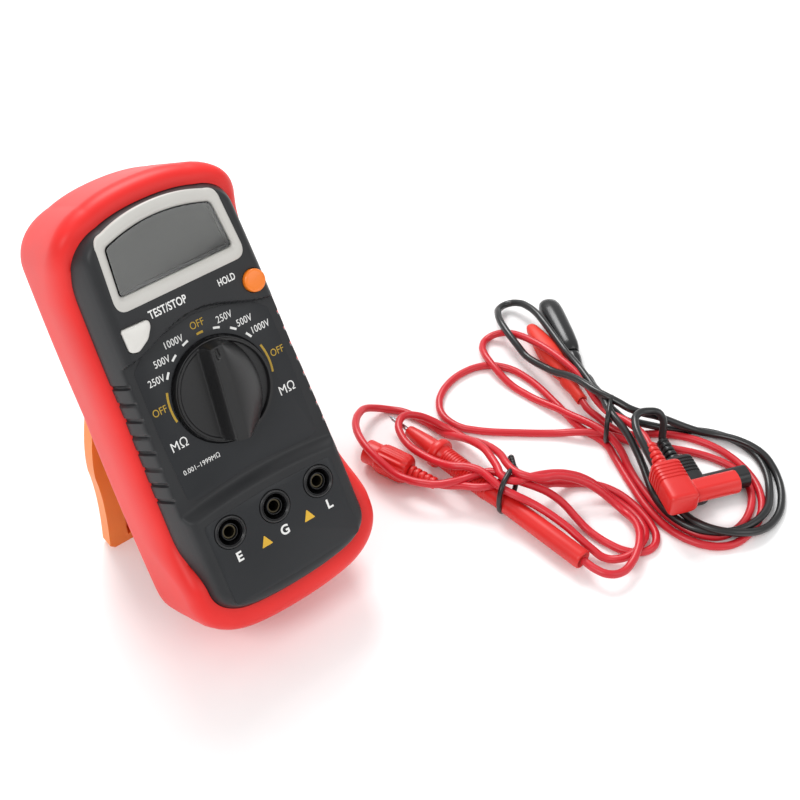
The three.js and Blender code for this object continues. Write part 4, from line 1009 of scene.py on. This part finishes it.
# %% Printing
# Screen ink, printed and dried: matt and flat, with no highlight of its own. White for words and
# ranges, ochre for the off positions and yellow for the triangles by the sockets.
white_ink = moulded("screen_ink_white", "e9e9e7", "e2e2e0", 0.6, 0.3, 0.004)
ochre_ink = moulded("screen_ink_ochre", "b8962e", "ad8c2a", 0.6, 0.3, 0.004)
yellow_ink = moulded("screen_ink_yellow", "dcae30", "d3a62c", 0.6, 0.3, 0.004)
INK = 0.06                                 # thickness of the ink, drawn thicker than it is
CAPITAL = 0.72                             # a capital's height, as a share of the font's size


def printed(name, marks, finish, height):
    """One mesh of flat marks, each given as an outline."""
    points, faces = [], []
    for outline in marks:
        sides, caps = skin([at_height(outline, height - 0.1), at_height(outline, height + INK)])
        faces += [tuple(i + len(points) for i in face) for face in caps]
        points += sides
    return body_mesh(name, from_face(points), faces, finish, "tester")


def lettering(text, place, size, height, finish, wide=1.0, bold=0.0):
    """A line of text centred on a place of the face, size millimetres high."""
    curve = bpy.data.curves.new("letters", "FONT")
    curve.body = text
    curve.size = size / CAPITAL
    curve.align_x, curve.align_y = "CENTER", "CENTER"
    curve.extrude = 0.08
    curve.offset = bold
    curve.space_character = 1.04
    maker = bpy.data.objects.new("letters", curve)
    bpy.context.collection.objects.link(maker)
    flat = bpy.data.meshes.new_from_object(maker.evaluated_get(bpy.context.evaluated_depsgraph_get()))
    points = np.array([v.co for v in flat.vertices])
    faces = [tuple(p.vertices) for p in flat.polygons]
    bpy.data.objects.remove(maker)
    bpy.data.meshes.remove(flat)
    x, y = points[:, 0] * wide, points[:, 1]
    spot = np.column_stack([x + place[0], y + place[1], points[:, 2] + height - 0.02])
    plain = "".join(c for c in text.lower() if c.isalnum() and c.isascii())
    name = f"print_{plain}_{len(bpy.data.objects)}"
    return body_mesh(name, from_face(spot), faces, finish, "tester")


DIAL_FACE, TOP_FACE, SOCKET_FACE = FILM, RAISED, RAISED + FILM
for text, x, y in (("250V", 10.4, 69.2), ("500V", 16.9, 64.9), ("1000V", 21.6, 60.3),
                   ("1000V", -10.2, 69.2), ("500V", -16.6, 64.8), ("250V", -21.0, 59.6)):
    lettering(text, (x, y), 2.6, DIAL_FACE, white_ink, 0.8, 0.01)
for x, y in ((0.2, 71.2), (24.3, 49.6), (-24.1, 49.6)):
    lettering("OFF", (x, y), 2.7, DIAL_FACE, ochre_ink, 0.82, 0.01)
for x, y in ((-22.3, 35.9), (22.6, 35.6)):
    lettering("MΩ", (x, y), 3.5, DIAL_FACE, white_ink, 0.9, 0.0)
lettering("0.001–1999MΩ", (-17.6, 26.0), 1.8, DIAL_FACE, white_ink, 0.92)
lettering("TEST/STOP", (-8.3, 81.6), 2.9, TOP_FACE, white_ink, 0.72, 0.07)
lettering("HOLD", (15.0, 81.3), 2.5, TOP_FACE, white_ink, 0.7, 0.06)
for text, x in (("E", -19.3), ("G", 0.2), ("L", 19.9)):
    lettering(text, (x, -10.0), 3.6, SOCKET_FACE, white_ink, 1.0, 0.14)


def ring_piece(start, end, near, far):
    """A stretch of a printed ring, in degrees to the right of the top of the dial."""
    angles = np.radians(90 - np.linspace(start, end, 24))
    rim = np.column_stack([np.cos(angles), np.sin(angles)])
    return (np.vstack([rim * near, rim[::-1] * far]) + (0, PRINT_Y))[::-1]


PRINT_Y = 47.8                             # the printed scale's own centre
TICK_NEAR, TICK_FAR, TICK_HALF = 19.9, 20.7, 3.6
TICK_PITCH = 18.2                          # degrees between two ranges
ticks = [ring_piece(k * TICK_PITCH - TICK_HALF, k * TICK_PITCH + TICK_HALF, TICK_NEAR, TICK_FAR)
         for k in (-3, -2, -1, 1, 2, 3)]
printed("scale_ticks", ticks, white_ink, DIAL_FACE)
off_marks = [ring_piece(start, end, TICK_NEAR, TICK_FAR)
             for start, end in ((71, 102), (-102, -71), (-TICK_HALF, TICK_HALF))]
printed("scale_off_marks", off_marks, ochre_ink, DIAL_FACE)


def triangle(x, y, size):
    """A plain triangle with slightly rounded corners."""
    corners = [(x - size / 2, y - size * 0.4), (x + size / 2, y - size * 0.4), (x, y + size * 0.5)]
    return rounded(corners, 0.4, 4)


printed("yellow_triangles", [triangle(-8.1, -9.9, 4.6), triangle(10.6, -9.6, 4.6)], yellow_ink,
        SOCKET_FACE)
print("ticks", TICK_PITCH, "degrees apart")

# %% [markdown]
# ## Test probe
# A smooth tube for a handle, a grip of fine rings, a finger guard, and a cone down to the steel needle.
# It is turned in one piece of hard red plastic with a satin skin, and a loop adds the grip's rings to
# its section: rings made as pieces of their own would leave seams inside it.

# %% Probe
# Red ABS, injection moulded: a clear red with a soft, small highlight on every ring.
lead_plastic = moulded("abs_moulded_red", "d6221d", "c91c1a", 0.36, 0.5, 0.01)
# Steel, ground and nickel plated: a bright, cool needle.
steel = moulded("steel_plated", "b9bbbe", "a6a8ab", 0.24, 0.3, 0.004, Metallic=1.0)
GRIP_FROM, GRIP_TO, GRIP_RINGS = 50.0, 76.0, 20
probe_profile = [(1.8, 2.0), (3.5, 0.0), (3.9, 0.1), (4.15, 0.5), (4.2, 1.2), (4.2, 20), (4.2, 46),
                 (4.5, 48.6)]
for k in range(GRIP_RINGS):
    at = GRIP_FROM + (GRIP_TO - GRIP_FROM) * k / GRIP_RINGS
    probe_profile += [(4.35, at), (4.75, at + 0.35), (4.75, at + 0.8), (4.35, at + 1.1)]
probe_profile += [(4.6, 76.4), (5.0, 77.6), (6.2, 77.9), (6.5, 78.4), (6.5, 80.6), (6.2, 81.1), (5.2, 81.4),
                  (4.4, 82.2), (4.2, 83.0), (3.9, 87), (3.2, 93), (2.6, 97), (2.3, 97.8), (1.2, 98.0)]
points, faces = skin([along(ring) for ring in turned(probe_profile, 40)])
probe = body_mesh("probe_grip", laid(points, PROBE_PLACE, PROBE_HEADING, PROBE_AXIS), faces, lead_plastic,
                  "probe_lead", ["probe_handle"], 40)
repaint("probe_tip", steel)
print("probe", probe_profile[-1][1], "mm long without its needle")

# %% [markdown]
# ## Straight plug
# The probe lead's plug has lengthwise ridges for the fingers and a strain relief of stacked discs.
# It is turned too, and the ridges come from drawing its rings in and out as they go round.

# %% Straight plug
RELIEF_LENGTH, RELIEF_DISCS = 13.0, 5


def relief_profile(radius):
    """A tapered strain relief: discs with deep grooves between them, towards the grip at the end."""
    profile = [(1.7, 0.2), (2.2, 0.0)]
    for k in range(RELIEF_DISCS):
        at = RELIEF_LENGTH * k / RELIEF_DISCS
        size = radius * (0.86 + 0.14 * k / (RELIEF_DISCS - 1))
        profile += [(size - 0.15, at + 0.1), (size, at + 0.4), (size, at + 1.5), (size - 0.15, at + 1.8),
                    (2.15, at + 1.9), (2.15, at + 2.5)]
    return profile


def combined(*shells):
    """Several skins as one."""
    points, faces = [], []
    for more_points, more_faces in shells:
        faces += [tuple(i + len(points) for i in face) for face in more_faces]
        points += [tuple(p) for p in more_points]
    return points, faces


relief = skin([along(ring) for ring in turned(relief_profile(3.0), 32)])
grip_profile = [(2.4, 12.6), (4.6, 12.8), (5.6, 13.4), (6.3, 14.6), (6.45, 16), (6.45, 24), (6.3, 26.5),
                (5.7, 27.4), (5.2, 28), (5.2, 33.6), (5.0, 34.0), (4.0, 34.0), (3.8, 33.6), (3.8, 17.0)]
RIDGES, RIDGE_SHARE = 16, 0.07             # ridges round the grip, and their depth as a share
grip_rings = []
for (radius, distance), ring in zip(grip_profile, turned(grip_profile, 96)):
    ridged = 13.5 < distance < 26.8 and radius > 5
    bend = np.arctan2(np.array(ring)[:, 1], np.array(ring)[:, 0])
    swell = 1 - (RIDGE_SHARE * (0.5 + 0.5 * np.cos(bend * RIDGES)) if ridged else 0 * bend)
    grip_rings.append(along(np.array(ring) * np.column_stack([swell, swell, np.ones(len(ring))])))
points, faces = combined(relief, skin(grip_rings))
points = laid(points, STRAIGHT_PLACE, STRAIGHT_HEADING, STRAIGHT_AXIS)
straight_plug = body_mesh("straight_plug_grip", points, faces, lead_plastic, "probe_lead", ["probe_plug"],
                          38)
repaint("probe_plug_pin", brass)
print("straight plug", RELIEF_DISCS, "relief discs")

# %% [markdown]
# ## Angled plugs
# The clip leads end in right-angle plugs: a ribbed block, a relief of discs at its back, and a
# shroud out of its side. The red one lies on the black one.
# The block is a run of squarish rings, which swell at the ribs, and relief and shroud are turned.
# The three skins pass into each other inside one mesh, so no cut is needed.

# %% Angled plugs
# Black ABS for the other lead, injection moulded: near black and a little glossier than the case.
black_lead_plastic = moulded("abs_moulded_lead_black", "1a1b1d", "151617", 0.32, 0.5, 0.01)
PLUG_HALF_X, PLUG_HALF_Z = 6.5, 5.5
PLUG_RIBS, RIB_PITCH = 5, 1.75
SHROUD_RADIUS, SHROUD_REACH, SHROUD_Y = 4.8, 25.5, -4.5


def block_ring(half_x, half_z, y, power=5.0, sides=64):
    """A squarish ring round the y axis."""
    bend = np.linspace(0, 2 * np.pi, sides, endpoint=False)
    c, s = np.cos(bend), np.sin(bend)
    return np.column_stack([-half_x * np.sign(c) * np.abs(c) ** (2 / power), np.full(sides, y),
                            half_z * np.sign(s) * np.abs(s) ** (2 / power)])


def angled_plug(name, place, height, finish, stands_for):
    """A right-angle plug: block, strain relief and shroud."""
    sections = [(0.55, -10.5), (0.82, -10.4), (0.93, -10.0), (0.98, -9.3), (1.0, -8.3), (1.0, 0.2)]
    for k in range(PLUG_RIBS):
        at = 0.6 + RIB_PITCH * k
        sections += [(0.93, at), (0.93, at + 0.45), (1.0, at + 0.7), (1.0, at + 1.4)]
    sections += [(0.97, 9.6), (0.9, 10.2), (0.75, 10.5), (0.4, 10.5)]
    block = skin([block_ring(PLUG_HALF_X * size, PLUG_HALF_Z * size, y) for size, y in sections])
    back = skin([along(ring) * (1, -1, 1) + (0, RELIEF_END, 0) for ring in turned(relief_profile(3.0), 32)])
    back = (back[0], [face[::-1] for face in back[1]])
    profile = [(3.9, 5.0), (4.6, 6.3), (SHROUD_RADIUS, 6.9), (SHROUD_RADIUS, 24.9), (4.6, 25.4),
               (4.2, SHROUD_REACH), (3.95, 25.3), (3.8, 24.9), (3.8, 8.0)]
    tube = [np.array(ring) for ring in turned(profile, 40)]
    shroud = skin([np.column_stack([ring[:, 2], ring[:, 0] + SHROUD_Y, np.minimum(ring[:, 1], 4.1)])
                   for ring in tube])
    points, faces = combined(block, back, shroud)
    points = laid(points, place, ANGLE_PLUG_HEADING, height)
    return body_mesh(name, points, faces, finish, "clip_leads", stands_for, 40)


black_plug = angled_plug("black_angled_plug", BLACK_PLUG_PLACE, BLACK_PLUG_AXIS, black_lead_plastic,
                         ["black_plug"])
red_plug = angled_plug("red_angled_plug", RED_PLUG_PLACE, RED_PLUG_AXIS, lead_plastic,
                       ["red_plug"])
for name in ("black_plug_pin", "red_plug_pin"):
    repaint(name, brass)
print("angled plugs with", PLUG_RIBS, "ribs each")

# %% [markdown]
# ## Crocodile clips
# Each clip hides in a rubber boot of two halves, hinged near the cable, that open like a beak.
# The neck grips the cable. The upper half rides on the jaw's joint.
# Each half is a run of arches along the clip, and one list of sections per clip gives it a round or
# a pointed nose, so both clips and both halves share one function.

# %% Clips
# Soft PVC, dip moulded, in red: matt and slightly waxy, so its colour is full and its light broad.
boot_red = moulded("pvc_dipped_red", "e4331f", "da2c1b", 0.5, 0.6, 0.02, **{"Sheen Weight": 0.04})
# Soft PVC, dip moulded, in black: shinier, with one long highlight on its back.
boot_black = moulded("pvc_dipped_black", "1a1b1c", "151617", 0.24, 0.6, 0.01)
CLIP_HEIGHT, CLIP_NECK_HEIGHT = 9.6, 7.2
CLIP_HALF = CLIP_HEIGHT / 2


def boot_half(sections, upper):
    """Half a boot along y: an arched outside and a flat inside, from (y, half width, height) sections."""
    rings = []
    for y, half, tall in sections:
        bend = np.linspace(0, np.pi, 25)
        x = half * np.cos(bend) * (1 - 0.12 * np.sin(bend) ** 4)
        rise = tall * np.sin(bend) ** 0.75
        z = CLIP_HALF + 0.12 + rise if upper else CLIP_HALF - 0.12 - rise
        ring = np.column_stack([x, np.full(25, y), z])
        rings.append(ring if upper else ring[::-1])
    return skin([ring[::-1] for ring in rings])


# Sections along a boot: distance from the cable's end, half width and height.
ROUND_NOSE = [(15.4, 3.2, 2.6), (16.5, 3.9, 3.6), (20, 4.6, 4.3), (27, 5.0, 4.6), (36, 5.2, 4.5),
              (43, 5.3, 4.3), (47, 5.1, 3.8), (49.8, 4.3, 3.0), (51.4, 2.9, 1.9), (52, 1.2, 0.7)]
POINTED_NOSE = [(15.4, 3.2, 2.6), (16.5, 3.9, 3.6), (20, 4.7, 4.3), (27, 5.2, 4.6), (34, 5.2, 4.3),
                (40, 4.4, 3.7), (45, 3.5, 3.1), (49.5, 2.7, 2.3), (51.4, 1.9, 1.5), (52, 0.9, 0.6)]


def clip(colour, place, heading, finish, nose):
    """A booted clip: the neck with the lower half, and the upper half on its jaw."""
    neck_profile = [(1.7, 0.3), (2.3, 0.0), (2.6, 0.4), (2.65, 2.0), (2.7, 6.5), (2.9, 8.5), (3.3, 10.5),
                    (3.6, 12.5), (3.6, 14.5), (3.2, 15.4), (1.5, 15.6)]
    neck = skin([along(ring) + (0, 0, CLIP_NECK_HEIGHT / 2) for ring in turned(neck_profile, 32)])
    lower_points, lower_faces = combined(neck, boot_half([(13.5, 3.0, 3.0)] + nose[1:], upper=False))
    upper_points, upper_faces = boot_half(nose, upper=True)
    lower = body_mesh(f"{colour}_boot_lower", laid(lower_points, place, heading, 0), lower_faces, finish,
                      "clip_leads", [f"{colour}_clip_lower"], 45)
    upper = body_mesh(f"{colour}_boot_upper", laid(upper_points, place, heading, 0), upper_faces, finish,
                      f"{colour}_clip_jaw", [f"{colour}_clip_upper"], 45)
    return [lower, upper]


red_boots = clip("red", RED_CLIP_PLACE, RED_CLIP_HEADING, boot_red, POINTED_NOSE)
black_boots = clip("black", BLACK_CLIP_PLACE, BLACK_CLIP_HEADING, boot_black, ROUND_NOSE)
print("clips", ROUND_NOSE[-1][0], "mm long")

# %% [markdown]
# ## Ties
# Each coil is held by a plastic-coated wire tie, closed round the strands.
# The first has its two ends twisted together at the far side, the second is a plain ring.
# A wire is a curve with a round bevel, and it is turned into a mesh so that it exports as it is.

# %% Wire ties
# Soft PVC, extruded over a wire: near black and smooth, with a thin bright line along it.
tie_pvc = moulded("pvc_extruded_black", "161718", "121314", 0.3, 0.5, 0.01)
TIE_WIRE = 2.2
PROBE_BUNDLE, CLIP_BUNDLE = 19.6, 19.0     # outer height of each tie


def wire(name, points, finish, body, slot, stands_for=(), closed=False):
    """A round wire along points in metres, turned into a mesh."""
    curve = bpy.data.curves.new(name, "CURVE")
    curve.dimensions = "3D"
    curve.bevel_depth = TIE_WIRE / 2 * MM
    curve.bevel_resolution = 4
    curve.use_fill_caps = True
    spline = curve.splines.new("BEZIER")
    spline.bezier_points.add(len(points) - 1)
    spline.use_cyclic_u = closed
    for knot, place in zip(spline.bezier_points, points):
        knot.co = place
        knot.handle_left_type = knot.handle_right_type = "AUTO"
    maker = bpy.data.objects.new(name, curve)
    bpy.context.collection.objects.link(maker)
    flat = bpy.data.meshes.new_from_object(maker.evaluated_get(bpy.context.evaluated_depsgraph_get()))
    points = [tuple(v.co) for v in flat.vertices]
    faces = [tuple(p.vertices) for p in flat.polygons]
    bpy.data.objects.remove(maker)
    bpy.data.meshes.remove(flat)
    return body_mesh(name, points, faces, finish, body, stands_for, 60)


def tie_ring(low_x, high_x, top):
    """A wire ring round a bundle that reaches from low_x to high_x across the tie and up to top."""
    path = []
    for bend in np.radians(np.arange(0, 360, 24)):
        c, s = math.cos(bend), math.sin(bend)
        x = (low_x + high_x) / 2 + (high_x - low_x) / 2 * math.copysign(abs(c) ** 0.8, c)
        z = top / 2 + (top / 2 - TIE_WIRE / 2) * math.copysign(abs(s) ** 0.85, s)
        path.append((x, 0.6 * s, z))
    return path


def tie_twist(start, end, turns, swing):
    """One of the two ends of a tie, twisted round each other from start to end."""
    path = []
    for t in np.linspace(0, 1, 8 * turns):
        bend = 2 * math.pi * turns * t
        middle = np.array(start) * (1 - t) + np.array(end) * t
        sway = swing * math.cos(bend) * 0.7
        path.append(middle + (sway, sway, swing * math.sin(bend)))
    return path


def tie(name, place, heading, body, stands_for, ring, twists):
    """A wire tie: the ring round the strands and its twisted ends."""
    finish = (tie_pvc, body, "black_plastic")
    hoop = wire(name, laid(ring, place, heading, 0), *finish, [stands_for], closed=True)
    ends = [wire(f"{name}_end_{k}", laid(path, place, heading, 0), *finish) for k, path in enumerate(twists)]
    return [hoop, *ends]


KNOT_START, KNOT_END = (7.4, 1.0, 15.4), (12.4, 4.4, 15.0)
knot = [tie_twist(KNOT_START, KNOT_END, 2, swing) for swing in (1.0, -1.0)]
probe_ties = tie("probe_wire_tie", PROBE_TIE, PROBE_TIE_HEADING, "probe_lead", "probe_lead_tie",
                 tie_ring(-8.6, 9.0, PROBE_BUNDLE), knot)
clip_ties = tie("clip_wire_tie", CLIP_TIE, CLIP_TIE_HEADING, "clip_leads", "clip_leads_tie",
                tie_ring(-9.6, 9.6, CLIP_BUNDLE), [])
print("wire ties of", TIE_WIRE, "mm wire")

# %% [markdown]
# ## Stand and inner parts
# The stand is orange polypropylene, a little translucent. Inside the case are the parts an owner
# sees on opening it: board, cells, contacts, screws, switches, transformer and chips.
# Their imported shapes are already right, so they are kept and only painted.

# %% Finish of the stand
# Polypropylene, injection moulded: satin, and light enters it a few millimetres, which warms the edges.
stand_pp = moulded("polypropylene_moulded_orange", "ee8732", "e67d2a", 0.42, 0.7, 0.02,
                   **{"Subsurface Weight": 0.1, "Subsurface Radius": (0.004, 0.002, 0.001),
                      "Subsurface Scale": 1.0})
print("stand finish", stand_pp.name)

# %% Finishes of the inner pieces
# ABS, moulded and left untextured: a plain, dull charcoal.
inner_abs = moulded("abs_moulded_charcoal", "3a3b3d", "333436", 0.55, 0.5, 0.03)
# PVC sleeve, shrunk on the cells: a smooth, glossy blue.
cell_jacket = moulded("pvc_sleeve_blue", "2f4f7a", "294670", 0.35, 0.8, 0.005)
# Spring steel, stamped and nickel plated: bright and nearly colourless.
spring_steel = moulded("spring_steel_nickel_plated", "b4b6b8", "a0a2a5", 0.3, 0.4, 0.006, Metallic=1.0)
# Silicone rubber in thin layers with carbon: a dull grey that changes from black to pale.
zebra_rubber = moulded("silicone_layered_grey", "2b2b2b", "5a5a58", 0.6, 0.5, 0.01)
# Phenolic, press moulded: the dull black of small switches.
switch_body = moulded("phenolic_pressed_black", "26262a", "202024", 0.45, 0.5, 0.01)
# Glass-epoxy laminate under solder mask: a deep green. Its weave is about 0.5 mm, drawn at 1.2 mm.
board_laminate = moulded("glass_epoxy_laminate_green", "1f6b43", "1a5f3a", 0.4, 1.2, 0.01)
# Polyester tape, wound over copper: a warm, glossy brown.
winding = moulded("polyester_tape_copper", "b86b3a", "a55f33", 0.4, 0.6, 0.02)
# Epoxy, transfer moulded: the matt black of a chip.
chip_epoxy = moulded("epoxy_moulded_black", "222224", "1c1c1e", 0.5, 0.3, 0.01)
# PVC sleeve, shrunk on the capacitor: a dark, glossy blue.
capacitor_sleeve = moulded("pvc_sleeve_dark_blue", "28304a", "222a42", 0.35, 0.6, 0.006)
INNER = {
    "kickstand": stand_pp, "back_case": inner_abs, "battery_cover": inner_abs, "switch_rotor": inner_abs,
    "stand_pin_left": spring_steel, "stand_pin_right": spring_steel, "rotor_wiper": spring_steel,
    "battery_contact_left": spring_steel, "battery_contact_right": spring_steel,
    "zebra_strip_upper": zebra_rubber, "zebra_strip_lower": zebra_rubber, "hold_switch": switch_body,
    "test_switch": switch_body, "circuit_board": board_laminate, "hv_transformer": winding,
    "converter_chip": chip_epoxy, "meter_chip": chip_epoxy, "hv_capacitor": capacitor_sleeve}
for name, finish in INNER.items():
    repaint(name, finish)
for k in range(1, 7):
    repaint(f"battery_cell_{k}", cell_jacket)
for k in range(1, 5):
    repaint(f"case_screw_{k}", spring_steel)
print(len(INNER) + 10, "packed pieces painted")

# %% [markdown]
# ## Floor and light
# A plain pale floor and large soft lamps, as in a catalogue picture: almost no shadow.
# Area lamps give soft edges by their size, so a bigger one needs no blurring. The pale room adds
# the rest of the light and shows as the broad reflections on case and holster.

# %% Floor and studio light
FLOOR_HALF = 3.0
AIM = Vector((0.06, -0.03, 0.06))          # the middle of the object
ROOM_LIGHT = 0.66
floor_points = [(x * FLOOR_HALF, y * FLOOR_HALF, 0) for x, y in ((-1, -1), (1, -1), (1, 1), (-1, 1))]
# Background paper, uncoated: white and without gloss, so it only takes shadows.
floor_finish = moulded("paper_uncoated_white", "fdfdfd", "fbfbfb", 0.95, 3.0, 0.01)
floor = body_mesh("floor", floor_points, [(0, 1, 2, 3)], floor_finish, None)


def lamp(name, place, size, power):
    """A square soft lamp that points at the middle of the object."""
    light = bpy.data.lights.new(name, "AREA")
    light.size = size
    light.energy = power
    holder = bpy.data.objects.new(name, light)
    holder.location = place
    holder.rotation_euler = (AIM - Vector(place)).to_track_quat("-Z", "Y").to_euler()
    bpy.context.collection.objects.link(holder)


lamp("lamp_left", (-1.1, -0.3, 1.3), 0.6, 9)
lamp("lamp_back", (0.5, 1.1, 1.4), 0.8, 22)
lamp("lamp_front", (0.6, -1.2, 1.1), 1.0, 5)
world = bpy.data.worlds.new("studio")
bpy.context.scene.world = world
world.use_nodes = True
background = world.node_tree.nodes["Background"]
background.inputs["Color"].default_value = linear("ffffff")
background.inputs["Strength"].default_value = ROOM_LIGHT
bpy.context.scene.view_settings.view_transform = "Standard"
print("three lamps and a room of strength", ROOM_LIGHT)
